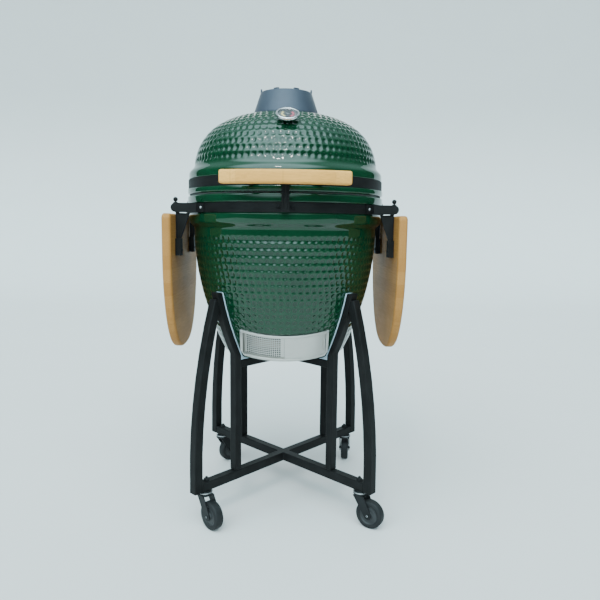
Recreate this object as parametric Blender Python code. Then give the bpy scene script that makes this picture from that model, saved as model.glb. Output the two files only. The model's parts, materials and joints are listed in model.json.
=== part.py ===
"""Egg-shaped ceramic charcoal grill on a four-caster stand, as separate pieces.

The bowl's axis is the Z axis, the floor is Z = 0 and the front is -Y. Metres.
"""
from math import acos, asin, atan2, ceil, cos, pi, radians, sin, sqrt

import bmesh
import bpy
from mathutils import Matrix, Vector

# ---------------------------------------------------------------- driving sizes
GAP = 0.0003                 # air between pieces that touch
SIDES = 40                   # sides of the large turned pieces
MID_SIDES = 24               # sides of the firebox, the grates and the chimney
SMALL_SIDES = 10             # sides of pins, hubs and knobs

# Ceramic shells
LIP_RADIUS = 0.2725          # outer radius of both rims
BODY_RADIUS = 0.2560         # bowl just under its shoulder
BOWL_FOOT_RADIUS = 0.1680
SHELL_WALL = 0.024
SHOULDER_STEP = 0.0035       # shoulder radius below the lip's
BAND_RECESS = 0.0050         # depth of the grooves that hold the bands
BOWL_FOOT_Z = 0.4360
BOWL_WAIST_Z = 0.7840        # where the curved bowl meets its shoulder
BASE_BAND_Z = 0.8245         # underside of the base band
BAND_HEIGHT = 0.0250
BAND_THICKNESS = 0.0025
LIP_HEIGHT = 0.0210          # base lip, over the base band
GASKET_THICKNESS = 0.0040
GASKET_WIDTH = 0.0190
LID_LIP_HEIGHT = 0.0150
LID_SHOULDER_HEIGHT = 0.0170
DOME_RADIUS = 0.2542
DOME_START_Z = 0.9330        # centre height of the dome's curve
DOME_HEIGHT = 0.1650
DOME_ROUND = 2.886           # roundness across and up
DOME_RISE = 2.208
FLUE_RADIUS = 0.0550
CHIMNEY_SEAT_RADIUS = 0.0880

# Inside
FLOOR_THICKNESS = 0.0300
FIREBOX_FOOT_SPREAD = 0.0010 # foot radius past the bowl's foot less its wall
FIREBOX_TOP_CLEAR = 0.0340   # inside the bowl's wall at its widest
FIREBOX_HEIGHT = 0.2280
FIREBOX_WALL = 0.0190
FIREBOX_HOLE_RADIUS = 0.0090
FIREBOX_HOLES = 8
COAL_GRATE_INSET = 0.0150    # inside the firebox's foot radius
COAL_GRATE_THICKNESS = 0.0090
COAL_GRATE_HEIGHT = 0.0760   # above the firebox's underside
FIRE_RING_CLEAR = 0.0105     # inside the bowl's wall at its widest
FIRE_RING_WALL = 0.0230
FIRE_RING_HEIGHT = 0.1420
GRILL_OVERHANG = 0.0015      # past the fire ring
GRILL_THICKNESS = 0.0060
GRILL_RIM = 0.0090
GRILL_BAR = 0.0060
GRILL_BARS = 13
GRILL_LIFT = 0.0550

# Chimney and damper
CHIMNEY_FOOT_RADIUS = 0.0915
CHIMNEY_TOP_RADIUS = 0.0718
CHIMNEY_HEIGHT = 0.0610
CHIMNEY_WALL = 0.0050
CHIMNEY_PLATE = 0.0050
FIN_HEIGHT = 0.0110
FIN_WIDTH = 0.0160
DAMPER_RADIUS = 0.0500
DAMPER_THICKNESS = 0.0050
DAMPER_PORTS = 5
DAMPER_PORT_ANGLE = radians(32)
DAMPER_LUG_HEIGHT = 0.0060
DAMPER_PIN_RADIUS = 0.0040

# Thermometer
THERMO_RADIUS = 0.0290
THERMO_DEPTH = 0.0120
THERMO_STAND_OFF = 0.0190    # face above the dome, along its normal
THERMO_AT_RADIUS = 0.2030
THERMO_TILT = radians(36.0)
THERMO_AZIMUTH = radians(1.0)
THERMO_NECK_RADIUS = 0.0110
THERMO_BEZEL = 0.0050        # width of the rim, and depth of the dial under it
THERMO_BEVEL = 0.0020
PROBE_RADIUS = 0.0035
PROBE_LENGTH = 0.0700

# Handle and latch
HANDLE_BEND_RADIUS = 0.4500
HANDLE_LENGTH = 0.3160
HANDLE_DEPTH = 0.0280
HANDLE_HEIGHT = 0.0320
HANDLE_REACH = 0.0625        # front face past the rim
HANDLE_Z = 0.9045
HANDLE_ROUND = 0.0060
ARM_SPACING = 0.0850
ARM_WIDTH = 0.0160
PLATE_THICKNESS = 0.0030     # sheet parts bolted to the bands
LATCH_WIDTH = 0.0190
LATCH_THICKNESS = 0.0030
LATCH_PIVOT_REACH = 0.0145   # past the rim
LATCH_PIVOT_Z = 0.8990
LATCH_EYE_RADIUS = 0.0055
LATCH_PIN_RADIUS = 0.0025
LATCH_DROP = 0.0735          # pivot to the hook's underside
LATCH_NOSE = 0.0037
LATCH_NOSE_HEIGHT = 0.0090
KEEPER_WIDTH = 0.0420
KEEPER_REACH = 0.0077

# Rear hinge
HINGE_REACH = 0.0415         # pin past the rim
HINGE_EAR = 0.0060
HINGE_EAR_SPACING = 0.0430
HINGE_RADIUS = 0.0120
HINGE_PIN_RADIUS = 0.0045
HINGE_PLATE_ANGLE = radians(13)

# Draft door
DOOR_HEIGHT = 0.0760
DOOR_ANGLE = radians(34.0)   # half of the frame's arc
DOOR_RADIUS = 0.2030         # bend of the frame's inner face
DOOR_MID_Z = 0.4775
DOOR_LEAN = radians(19.5)
DOOR_RAIL = 0.0070
DOOR_FRAME_DEPTH = 0.0075
DOOR_LIP_DEPTH = 0.0012
DOOR_LIP = 0.0030
PANEL_THICKNESS = 0.0010
SOLID_PANEL_DEPTH = 0.0046   # from the frame's inner face, past the screen panel
PANEL_END = 0.0040           # radians left between a panel and its frame's end
PANEL_MIDDLE = 0.0010        # radians left between the two panels at the middle
PANEL_CLEAR = 0.0006
PANEL_ANGLE = radians(29.0)
PORT_MARGIN = radians(3.0)
PORT_HEIGHT = 0.0440
TAB_HEIGHT = 0.0340
TAB_FROM_END = 0.0300        # radians
TAB_WIDTH = 0.0100           # radians
TAB_PROUD = 0.0035

# Shelves and their brackets
SHELF_PIVOT_REACH = 0.0125   # past the rim
SHELF_HALF_LENGTH = 0.2120
SHELF_DROP = 0.372
SHELF_TOP_DROP = 0.0160
SHELF_THICKNESS = 0.0230
SHELF_CORNER = 0.0140
BRACKET_YS = (-0.1400, 0.0750)
BRACKET_HEIGHT = 0.0240
BRACKET_WIDTH = 0.0180
BRACKET_SLOT = 0.0090
BRACKET_BRIDGE = 0.0016      # metal left over the slot
BRACKET_FLANGE_ANGLE = radians(9.5)
SHELF_ARM_THICKNESS = 0.0080
SHELF_HUB_RADIUS = 0.0098
ARM_ROOT_WIDTH = 0.0360
SHELF_PIN_RADIUS = 0.0030
SHELF_FOOT = (0.0147, 0.0260, 0.0430)
LOCK_PIN_RADIUS = 0.0025
LOCK_KNOB_RADIUS = 0.0062
LOCK_TRAVEL = 0.0120

# Stand
TUBE = 0.0250
POST_DEPTH = 0.0200
LEG_FOOT_S = 0.3210          # leg's centre line from the axis, along the diagonal
LEG_TOP_S = 0.2510
LEG_TOP_Z = 0.6030
LEG_STRAIGHT_Z = 0.1300
POST_S = 0.1865
PAD_THICKNESS = 0.0040
PAD_TOP_Z = 0.6200
PAD_END = 0.0300             # inner end of the pads under the bowl
RAIL_Z = 0.0970
UPPER_RAIL_HEIGHT = 0.0220
CASTER_S = 0.2920
WHEEL_RADIUS = 0.0375
WHEEL_WIDTH = 0.0240
WHEEL_SIDES = 24
CASTER_TRAIL = 0.0300
FORK_SHEET = 0.0030
FORK_CLEAR = 0.0018
AXLE_RADIUS = 0.0040
CUP_RADIUS = 0.0190
LID_PIECES = ("dome_lid", "lid_band", "hinge_lid_bracket", "handle_bar", "handle_bracket", "latch_strap",
              "thermometer_case", "thermometer_lens", "chimney_body", "chimney_damper")
CORNERS = {
    "front_left": (-1, -1, radians(-48)),
    "front_right": (1, -1, radians(-35)),
    "rear_right": (1, 1, radians(82)),
    "rear_left": (-1, 1, radians(40)),
}

# ------------------------------------------------------------ sizes that follow
GROOVE_RADIUS = LIP_RADIUS - BAND_RECESS
BAND_INNER = GROOVE_RADIUS + GAP
BAND_OUTER = BAND_INNER + BAND_THICKNESS
SHOULDER_RADIUS = LIP_RADIUS - SHOULDER_STEP
BASE_BAND_TOP = BASE_BAND_Z + BAND_HEIGHT
RIM_Z = BASE_BAND_TOP + LIP_HEIGHT
LID_Z = RIM_Z + GASKET_THICKNESS
LID_BAND_Z = LID_Z + LID_LIP_HEIGHT
LID_BAND_TOP = LID_BAND_Z + BAND_HEIGHT
INNER_RADIUS = LIP_RADIUS - SHELL_WALL - 0.005
BOWL_INSIDE = BODY_RADIUS - SHELL_WALL
FIREBOX_FOOT_RADIUS = BOWL_FOOT_RADIUS - SHELL_WALL + FIREBOX_FOOT_SPREAD
FIREBOX_TOP_RADIUS = BOWL_INSIDE - FIREBOX_TOP_CLEAR
COAL_GRATE_RADIUS = FIREBOX_FOOT_RADIUS - COAL_GRATE_INSET
FIRE_RING_RADIUS = BOWL_INSIDE - FIRE_RING_CLEAR
GRILL_RADIUS = FIRE_RING_RADIUS + GRILL_OVERHANG
HANDLE_FRONT = LIP_RADIUS + HANDLE_REACH
LATCH_PIVOT_Y = -(LIP_RADIUS + LATCH_PIVOT_REACH)
HINGE_Y = LIP_RADIUS + HINGE_REACH
SHELF_PIVOT_X = LIP_RADIUS + SHELF_PIVOT_REACH
HINGE_Z = (RIM_Z + LID_Z) / 2
SHELF_PIVOT_Z = BASE_BAND_Z + BAND_HEIGHT / 2
FIREBOX_Z = BOWL_FOOT_Z + FLOOR_THICKNESS + GAP
FIREBOX_TOP_Z = FIREBOX_Z + FIREBOX_HEIGHT
FIRE_RING_Z = FIREBOX_TOP_Z + GAP
GRILL_Z = FIRE_RING_Z + FIRE_RING_HEIGHT + GAP
PLATE_INNER = BAND_OUTER + GAP
PLATE_OUTER = PLATE_INNER + PLATE_THICKNESS
HANDLE_CENTRE_Y = HANDLE_BEND_RADIUS - HANDLE_FRONT


# ---------------------------------------------------------------------- materials
def material(name, colour, roughness, metallic=0.0):
    """A plain Principled material."""
    mat = bpy.data.materials.new(name)
    mat.use_nodes = True
    shader = mat.node_tree.nodes["Principled BSDF"]
    shader.inputs["Base Color"].default_value = (*colour, 1.0)
    shader.inputs["Roughness"].default_value = roughness
    shader.inputs["Metallic"].default_value = metallic
    mat.diffuse_color = (*colour, 1.0)
    return mat


FINISHES = {
    "green_glaze": ((0.010, 0.085, 0.040), 0.12, 0.0),
    "fire_clay": ((0.42, 0.33, 0.25), 0.90, 0.0),
    "cast_iron": ((0.055, 0.065, 0.085), 0.55, 0.6),
    "black_steel": ((0.018, 0.018, 0.019), 0.45, 0.0),
    "stainless": ((0.62, 0.61, 0.58), 0.30, 1.0),
    "bamboo": ((0.72, 0.47, 0.25), 0.45, 0.0),
    "felt": ((0.20, 0.20, 0.19), 0.95, 0.0),
    "pad": ((0.42, 0.52, 0.60), 0.85, 0.0),
    "tyre_rubber": ((0.022, 0.022, 0.024), 0.60, 0.0),
    "dial_glass": ((0.80, 0.85, 0.88), 0.05, 0.0),
}


# ------------------------------------------------------------------ shape helpers
def finish(name, bm, mat, origin=(0, 0, 0), turn=None, sharp=radians(35)):
    """Turn a bmesh into an object with its origin at a chosen point."""
    if turn is not None:
        bm.transform(turn)
        bm.normal_update()
    bmesh.ops.recalc_face_normals(bm, faces=bm.faces[:])
    mesh = bpy.data.meshes.new(name)
    bm.to_mesh(mesh)
    bm.free()
    mesh.transform(Matrix.Translation(-Vector(origin)))
    mesh.shade_smooth()
    mesh.set_sharp_from_angle(angle=sharp)
    colour, roughness, metallic = FINISHES[mat]
    mesh.materials.append(material(name + "_" + mat, colour, roughness, metallic))
    obj = bpy.data.objects.new(name, mesh)
    obj.location = origin
    bpy.context.scene.collection.objects.link(obj)
    return obj


def turned(name, profile, mat, sides=SIDES, closed=True, **place):
    """Spin a profile of (radius, height) points round Z; closed means a ring."""
    bm = bmesh.new()
    points = [bm.verts.new((r, 0.0, z)) for r, z in profile]
    pairs = list(zip(points, points[1:]))
    if closed:
        pairs.append((points[-1], points[0]))
    edges = [bm.edges.new(pair) for pair in pairs]
    bmesh.ops.spin(bm, geom=points + edges, cent=(0, 0, 0), axis=(0, 0, 1),
                   angle=2 * pi, steps=sides, use_merge=True)
    bmesh.ops.remove_doubles(bm, verts=bm.verts[:], dist=1e-6)
    return finish(name, bm, mat, **place)


def extruded(name, outline, depth, mat, **place):
    """Extrude an outline in the XZ plane along Y, centred on Y = 0."""
    bm = bmesh.new()
    face = bm.faces.new([bm.verts.new((x, -depth / 2, z)) for x, z in outline])
    out = bmesh.ops.extrude_face_region(bm, geom=[face])
    moved = [v for v in out["geom"] if isinstance(v, bmesh.types.BMVert)]
    bmesh.ops.translate(bm, verts=moved, vec=(0, depth, 0))
    return finish(name, bm, mat, **place)


def box(name, low, high, mat="black_steel", bevel=0.0, **place):
    """An upright box between two corners."""
    low, high = Vector(low), Vector(high)
    bm = bmesh.new()
    bmesh.ops.create_cube(bm, size=1.0)
    bmesh.ops.scale(bm, vec=high - low, verts=bm.verts[:])
    bmesh.ops.translate(bm, vec=(low + high) / 2, verts=bm.verts[:])
    if bevel:
        bmesh.ops.bevel(bm, geom=bm.edges[:], offset=bevel, segments=1, affect="EDGES")
    return finish(name, bm, mat, **place)


def rod(name, start, end, radius, mat="black_steel", sides=SMALL_SIDES, **place):
    """A round bar between two points."""
    start, end = Vector(start), Vector(end)
    run = end - start
    bm = bmesh.new()
    bmesh.ops.create_cone(bm, cap_ends=True, segments=sides, radius1=radius,
                          radius2=radius, depth=run.length)
    turn = Vector((0, 0, 1)).rotation_difference(run).to_matrix().to_4x4()
    bm.transform(Matrix.Translation((start + end) / 2) @ turn)
    return finish(name, bm, mat, **place)


def arc_plate(name, inner, outer, low, high, start, end, mat="black_steel", step=radians(4), **place):
    """A bent plate: a sector of a ring. Angles run from the front (-Y) towards +X."""
    count = max(2, ceil((end - start) / step))
    angles = [start + (end - start) * i / count for i in range(count + 1)]
    bm = bmesh.new()
    rows = [[bm.verts.new((r * sin(a), -r * cos(a), z)) for a in angles]
            for r, z in ((inner, low), (outer, low), (outer, high), (inner, high))]
    for row, after in zip(rows, rows[1:] + rows[:1]):
        for i in range(count):
            bm.faces.new((row[i], row[i + 1], after[i + 1], after[i]))
    for i in (0, count):
        bm.faces.new([row[i] for row in rows])
    return finish(name, bm, mat, **place)


def combine(target, part, operation):
    """Keep a Boolean on the target, and hide the piece it uses."""
    part.hide_render = True
    part.display_type = "WIRE"
    part.hide_set(True)
    step = target.modifiers.new(part.name, "BOOLEAN")
    step.operation = operation
    step.object = part
    return target


def weld(target, *parts):
    for part in parts:
        combine(target, part, "UNION")
    return target


def cut(target, *parts):
    for part in parts:
        combine(target, part, "DIFFERENCE")
    return target


def bowl_radius(z):
    """Outer radius of the bowl: a parabola from its foot to its waist."""
    t = min(1.0, max(0.0, (z - BOWL_FOOT_Z) / (BOWL_WAIST_Z - BOWL_FOOT_Z)))
    return BODY_RADIUS - (BODY_RADIUS - BOWL_FOOT_RADIUS) * (1 - t) ** 2


def bowl_height(radius):
    """Height at which the bowl has an outer radius."""
    share = (BODY_RADIUS - radius) / (BODY_RADIUS - BOWL_FOOT_RADIUS)
    return BOWL_FOOT_Z + (BOWL_WAIST_Z - BOWL_FOOT_Z) * (1 - sqrt(share))


def dome_point(t, inset=0.0):
    """A point of the dome's curve, t from 0 at its side to pi/2 at its top."""
    r = (DOME_RADIUS - inset) * cos(t) ** (2 / DOME_ROUND)
    return r, DOME_START_Z + (DOME_HEIGHT - inset) * sin(t) ** (2 / DOME_RISE)


def dome_angle(radius, inset=0.0):
    """The dome parameter at a radius."""
    return acos((radius / (DOME_RADIUS - inset)) ** (DOME_ROUND / 2))


def steps(low, high, count):
    return [low + (high - low) * i / count for i in range(count + 1)]


# ------------------------------------------------------------------ ceramic shells
def door_turn():
    """Matrix from the draft door's own frame (axis +Z, front -Y) to the grill's."""
    front = Vector((0, -bowl_radius(DOOR_MID_Z), DOOR_MID_Z))
    lean = Matrix.Rotation(DOOR_LEAN, 4, "X")
    normal = lean @ Vector((0, -1, 0))
    centre = front - normal * (DOOR_RADIUS - 2 * GAP)
    return Matrix.Translation(centre) @ lean


def base_bowl():
    outer = [(bowl_radius(z), z) for z in steps(BOWL_FOOT_Z + 0.008, BOWL_WAIST_Z, 7)]
    inner = [(bowl_radius(z) - SHELL_WALL, z)
             for z in steps(BOWL_FOOT_Z + FLOOR_THICKNESS + 0.020, BOWL_WAIST_Z - 0.04, 3)]
    profile = [(0, BOWL_FOOT_Z), (BOWL_FOOT_RADIUS - 0.008, BOWL_FOOT_Z)] + outer
    profile += [(SHOULDER_RADIUS - 0.006, BOWL_WAIST_Z + 0.008),
                (SHOULDER_RADIUS, BOWL_WAIST_Z + 0.018),
                (SHOULDER_RADIUS, BASE_BAND_Z - 0.002),
                (GROOVE_RADIUS, BASE_BAND_Z - GAP), (GROOVE_RADIUS, BASE_BAND_TOP + GAP),
                (LIP_RADIUS, BASE_BAND_TOP + GAP), (LIP_RADIUS, RIM_Z - 0.002),
                (LIP_RADIUS - 0.002, RIM_Z), (INNER_RADIUS, RIM_Z), (INNER_RADIUS, BOWL_WAIST_Z)]
    profile += inner[::-1]
    profile += [(inner[0][0] - 0.014, BOWL_FOOT_Z + FLOOR_THICKNESS), (0, BOWL_FOOT_Z + FLOOR_THICKNESS)]
    bowl = turned("base_bowl", profile, "green_glaze", closed=False)
    turn = door_turn()
    seat = arc_plate("door_seat_cutter", DOOR_RADIUS - GAP, DOOR_RADIUS + 0.03, -DOOR_HEIGHT / 2 - 0.001,
                     DOOR_HEIGHT / 2 + 0.001, -DOOR_ANGLE - 0.01, DOOR_ANGLE + 0.01, turn=turn)
    port = arc_plate("port_cutter", DOOR_RADIUS - 0.055, DOOR_RADIUS + 0.02, -PORT_HEIGHT / 2,
                     PORT_HEIGHT / 2, -PANEL_ANGLE, -PORT_MARGIN, turn=turn)
    return cut(bowl, seat, port)


def dome_lid():
    seat_t = dome_angle(CHIMNEY_SEAT_RADIUS)
    start_t = asin(((0.970 - DOME_START_Z) / DOME_HEIGHT) ** (DOME_RISE / 2))
    outer = [dome_point(t) for t in steps(start_t, seat_t, 7)]
    top = outer[-1][1]
    inner_top = dome_angle(FLUE_RADIUS + 0.004, SHELL_WALL)
    inner = [dome_point(t, SHELL_WALL) for t in steps(0.22, inner_top, 4)]
    shoulder = LID_BAND_TOP + LID_SHOULDER_HEIGHT
    profile = [(INNER_RADIUS, LID_Z), (LIP_RADIUS - 0.002, LID_Z), (LIP_RADIUS, LID_Z + 0.002),
               (LIP_RADIUS, LID_BAND_Z - GAP), (GROOVE_RADIUS, LID_BAND_Z - GAP),
               (GROOVE_RADIUS, LID_BAND_TOP + GAP), (SHOULDER_RADIUS, LID_BAND_TOP + 0.002),
               (SHOULDER_RADIUS, shoulder), (SHOULDER_RADIUS - 0.007, shoulder + 0.017)]
    profile += outer + [(FLUE_RADIUS, top)] + inner[::-1]
    return turned("dome_lid", profile, "green_glaze")


def ring(name, inner, outer, low, high, mat, sides=SIDES):
    return turned(name, [(inner, low), (outer, low), (outer, high), (inner, high)], mat, sides)


def bands_and_gasket():
    ring("base_band", BAND_INNER, BAND_OUTER, BASE_BAND_Z, BASE_BAND_TOP, "black_steel")
    ring("lid_band", BAND_INNER, BAND_OUTER, LID_BAND_Z, LID_BAND_TOP, "black_steel")
    ring("rim_gasket", LIP_RADIUS - 0.005 - GASKET_WIDTH, LIP_RADIUS - 0.005,
         RIM_Z + GAP, LID_Z - GAP, "felt")


# --------------------------------------------------------------------------- inside
def firebox():
    """Clay pot with a ledge for the coal grate, air holes and a mouth at the draft port."""
    def outer(h):
        return FIREBOX_FOOT_RADIUS + (FIREBOX_TOP_RADIUS - FIREBOX_FOOT_RADIUS) * h / FIREBOX_HEIGHT

    ledge = COAL_GRATE_HEIGHT - GAP
    profile = [(0, FIREBOX_Z), (FIREBOX_FOOT_RADIUS, FIREBOX_Z),
               (FIREBOX_TOP_RADIUS, FIREBOX_TOP_Z), (FIREBOX_TOP_RADIUS - FIREBOX_WALL, FIREBOX_TOP_Z),
               (outer(ledge) - FIREBOX_WALL, FIREBOX_Z + ledge),
               (COAL_GRATE_RADIUS - 0.012, FIREBOX_Z + ledge),
               (COAL_GRATE_RADIUS - 0.018, FIREBOX_Z + 0.016), (0, FIREBOX_Z + 0.016)]
    pot = turned("firebox", profile, "fire_clay", sides=MID_SIDES, closed=False)
    mouth = arc_plate("firebox_mouth_cutter", 0.09, 0.26, FIREBOX_Z + 0.018, FIREBOX_Z + 0.050,
                      -PANEL_ANGLE, 0.0)
    cut(pot, mouth)
    for i in range(FIREBOX_HOLES):
        a = 2 * pi * (i + 0.5) / FIREBOX_HOLES
        way = Vector((cos(a), sin(a), 0))
        z = Vector((0, 0, FIREBOX_Z + COAL_GRATE_HEIGHT + 0.045))
        cut(pot, rod(f"air_hole_cutter_{i}", way * 0.13 + z, way * 0.24 + z, FIREBOX_HOLE_RADIUS, sides=8))
    return pot


def coal_grate():
    z = FIREBOX_Z + COAL_GRATE_HEIGHT
    profile = [(0, z), (COAL_GRATE_RADIUS, z), (COAL_GRATE_RADIUS, z + COAL_GRATE_THICKNESS),
               (0, z + COAL_GRATE_THICKNESS)]
    plate = turned("charcoal_grate", profile, "cast_iron", sides=MID_SIDES, closed=False)
    for i in range(-3, 4):
        x = i * 0.031
        reach = sqrt((COAL_GRATE_RADIUS - 0.016) ** 2 - x * x)
        cut(plate, box(f"coal_slot_cutter_{i + 3}", (x - 0.0065, -reach, z - 0.01),
                       (x + 0.0065, reach, z + 0.02)))
    return plate


def fire_ring():
    return ring("fire_ring", FIRE_RING_RADIUS - FIRE_RING_WALL, FIRE_RING_RADIUS, FIRE_RING_Z,
                FIRE_RING_Z + FIRE_RING_HEIGHT, "fire_clay", sides=MID_SIDES)


def cooking_grate():
    """Round grille: a rim and straight bars, left by slots through one plate."""
    z = GRILL_Z
    plate = turned("cooking_grate", [(0, z), (GRILL_RADIUS, z), (GRILL_RADIUS, z + GRILL_THICKNESS),
                                     (0, z + GRILL_THICKNESS)], "stainless", sides=MID_SIDES, closed=False)
    pitch = 2 * (GRILL_RADIUS - GRILL_RIM) / (GRILL_BARS + 1)
    for i in range(GRILL_BARS + 1):
        x = (i - GRILL_BARS / 2) * pitch
        far = abs(x) + (pitch - GRILL_BAR) / 2
        if far < GRILL_RADIUS - 2 * GRILL_RIM:
            reach = sqrt((GRILL_RADIUS - GRILL_RIM) ** 2 - far * far)
            half = (pitch - GRILL_BAR) / 2
            cut(plate, box(f"grill_slot_cutter_{i}", (x - half, -reach, z - 0.01),
                           (x + half, reach, z + 0.02)))
    return plate


# -------------------------------------------------------------- chimney and damper
def fan_cutter(name, inner, outer, low, high, angle, width, turn=None):
    return arc_plate(name, inner, outer, low, high, angle - width / 2, angle + width / 2,
                     step=radians(12), turn=turn)


def chimney():
    """Tapered iron cap with a plate of fan-shaped ports, two upright fins and a centre pin."""
    foot = dome_point(dome_angle(CHIMNEY_SEAT_RADIUS))[1] + GAP
    top = foot + CHIMNEY_HEIGHT
    plate = top - 0.004 - CHIMNEY_PLATE
    spigot = FLUE_RADIUS - 0.002
    profile = [(spigot, foot), (spigot, foot - 0.020), (spigot - 0.004, foot - 0.020),
               (spigot - 0.004, foot + 0.006), (CHIMNEY_FOOT_RADIUS - 0.014, foot + 0.010),
               (CHIMNEY_TOP_RADIUS - CHIMNEY_WALL - 0.002, plate),
               (0, plate), (0, plate + CHIMNEY_PLATE),
               (CHIMNEY_TOP_RADIUS - CHIMNEY_WALL, plate + CHIMNEY_PLATE),
               (CHIMNEY_TOP_RADIUS - CHIMNEY_WALL, top), (CHIMNEY_TOP_RADIUS, top),
               (CHIMNEY_FOOT_RADIUS - 0.001, foot + 0.004), (CHIMNEY_FOOT_RADIUS, foot)]
    body = turned("chimney_body", profile, "cast_iron", sides=MID_SIDES)
    for i in range(DAMPER_PORTS):
        cut(body, fan_cutter(f"chimney_port_cutter_{i}", 0.016, DAMPER_RADIUS - 0.009, plate - 0.01,
                             plate + 0.012, 2 * pi * i / DAMPER_PORTS, DAMPER_PORT_ANGLE))
    for side in (-1, 1):
        fin = arc_plate(f"chimney_fin_{side}", CHIMNEY_TOP_RADIUS - CHIMNEY_WALL + 0.001,
                        CHIMNEY_TOP_RADIUS - 0.001, plate + CHIMNEY_PLATE - 0.001, top + FIN_HEIGHT,
                        side * pi / 2 - FIN_WIDTH / 2 / CHIMNEY_TOP_RADIUS,
                        side * pi / 2 + FIN_WIDTH / 2 / CHIMNEY_TOP_RADIUS)
        weld(body, fin)
    pin_z = plate + CHIMNEY_PLATE
    weld(body, rod("damper_pin", (0, 0, pin_z - 0.002), (0, 0, pin_z + DAMPER_THICKNESS + 0.003),
                   DAMPER_PIN_RADIUS))
    return pin_z


def damper(seat):
    """Rotating disc with the same ports and a ring of low lugs round its edge."""
    low = seat + GAP
    high = low + DAMPER_THICKNESS
    hole = DAMPER_PIN_RADIUS + 0.0005
    disc = turned("chimney_damper", [(hole, low), (DAMPER_RADIUS, low), (DAMPER_RADIUS, high),
                                     (DAMPER_RADIUS - 0.004, high + 0.003), (0.012, high + 0.005),
                                     (hole, high + 0.005)],
                  "cast_iron", sides=MID_SIDES, origin=(0, 0, low))
    for i in range(DAMPER_PORTS):
        angle = 2 * pi * i / DAMPER_PORTS
        cut(disc, fan_cutter(f"damper_port_cutter_{i}", 0.016, DAMPER_RADIUS - 0.009, low - 0.01,
                             high + 0.02, angle, DAMPER_PORT_ANGLE))
        lug = fan_cutter(f"damper_lug_{i}", DAMPER_RADIUS - 0.0075, DAMPER_RADIUS - 0.001, high - 0.002,
                         high + DAMPER_LUG_HEIGHT + 0.002, angle + pi / DAMPER_PORTS, radians(20))
        weld(disc, lug)
    return disc


# ---------------------------------------------------------------------- thermometer
def thermometer():
    """Dial case on a short neck, its probe through the dome, and a separate lens."""
    at = Vector((0, -THERMO_AT_RADIUS, dome_point(dome_angle(THERMO_AT_RADIUS))[1]))
    turn = (Matrix.Rotation(THERMO_AZIMUTH, 4, "Z") @ Matrix.Translation(at)
            @ Matrix.Rotation(THERMO_TILT, 4, "X"))
    face = THERMO_STAND_OFF
    back = face - THERMO_DEPTH
    profile = [(0, -PROBE_LENGTH), (PROBE_RADIUS, -PROBE_LENGTH), (PROBE_RADIUS, GAP),
               (THERMO_NECK_RADIUS, 0.0035), (THERMO_NECK_RADIUS, back), (THERMO_RADIUS - THERMO_BEVEL, back),
               (THERMO_RADIUS, back + THERMO_BEVEL), (THERMO_RADIUS, face - THERMO_BEVEL),
               (THERMO_RADIUS - THERMO_BEVEL, face), (THERMO_RADIUS - THERMO_BEZEL, face),
               (THERMO_RADIUS - THERMO_BEZEL, face - THERMO_BEZEL), (0, face - THERMO_BEZEL)]
    turned("thermometer_case", profile, "stainless", sides=20, closed=False, turn=turn)
    glass = THERMO_RADIUS - THERMO_BEZEL - GAP
    lens = [(0, face - 0.003), (glass, face - 0.003), (glass, face - 0.0012), (0, face - 0.0004)]
    turned("thermometer_lens", lens, "dial_glass", sides=20, closed=False, turn=turn)
    return rod("probe_hole_cutter", (0, 0, -0.06), (0, 0, 0.02), PROBE_RADIUS + 0.0005, turn=turn)


# ----------------------------------------------------------------- handle and latch
def handle():
    """A laminated bar bent to a wide arc, on a bracket that is bolted to the lid's band."""
    half = asin(HANDLE_LENGTH / 2 / HANDLE_BEND_RADIUS)
    bend = Matrix.Translation((0, HANDLE_CENTRE_Y, 0))
    low, high = HANDLE_Z - HANDLE_HEIGHT / 2, HANDLE_Z + HANDLE_HEIGHT / 2
    bar = arc_plate("handle_bar", HANDLE_BEND_RADIUS - HANDLE_DEPTH, HANDLE_BEND_RADIUS, low, high,
                    -half, half, "bamboo", step=radians(4), turn=bend)
    bevel = bar.modifiers.new("rounding", "BEVEL")
    bevel.width = HANDLE_ROUND
    bevel.segments = 2
    bevel.limit_method = "ANGLE"
    bevel.angle_limit = radians(40)
    bar_space = arc_plate("bar_space_cutter", HANDLE_BEND_RADIUS - HANDLE_DEPTH - GAP,
                          HANDLE_BEND_RADIUS + 0.03, low - 0.01, high + 0.01, -half, half,
                          step=radians(4), turn=bend)
    mid = (LID_BAND_Z + LID_BAND_TOP) / 2
    bracket = arc_plate("handle_bracket", PLATE_INNER, PLATE_OUTER, mid - 0.010, mid + 0.010,
                        -radians(22), radians(22))
    reach = -HANDLE_FRONT + 0.008
    for side in (-1, 1):
        x = side * ARM_SPACING
        arm = box(f"handle_arm_{side}", (x - ARM_WIDTH / 2, reach, mid - 0.008),
                  (x + ARM_WIDTH / 2, -0.245, mid + 0.008))
        weld(bracket, arm)
    eye = Vector((LATCH_PIVOT_Y, LATCH_PIVOT_Z))
    ear_outline = [(-0.262, mid - 0.009), (-0.262, mid + 0.008)] + [
        (eye.x + LATCH_EYE_RADIUS * cos(a), eye.y + LATCH_EYE_RADIUS * sin(a))
        for a in steps(radians(100), radians(280), 6)]
    for side in (-1, 1):
        x = side * (LATCH_WIDTH / 2 + 0.0025)
        ear = extruded(f"latch_ear_{side}", ear_outline, 0.0030, "black_steel",
                       turn=Matrix.Translation((x, 0, 0)) @ Matrix.Rotation(pi / 2, 4, "Z"))
        weld(bracket, ear)
    half_pin = LATCH_WIDTH / 2 + 0.0030
    weld(bracket, rod("latch_pin", (-half_pin, *eye), (half_pin, *eye), LATCH_PIN_RADIUS))
    band_space = rod("handle_band_cutter", (0, 0, LID_BAND_Z - 0.05), (0, 0, LID_BAND_TOP + 0.05),
                     PLATE_INNER, sides=SIDES * 2)
    return cut(bracket, bar_space, band_space)


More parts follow.
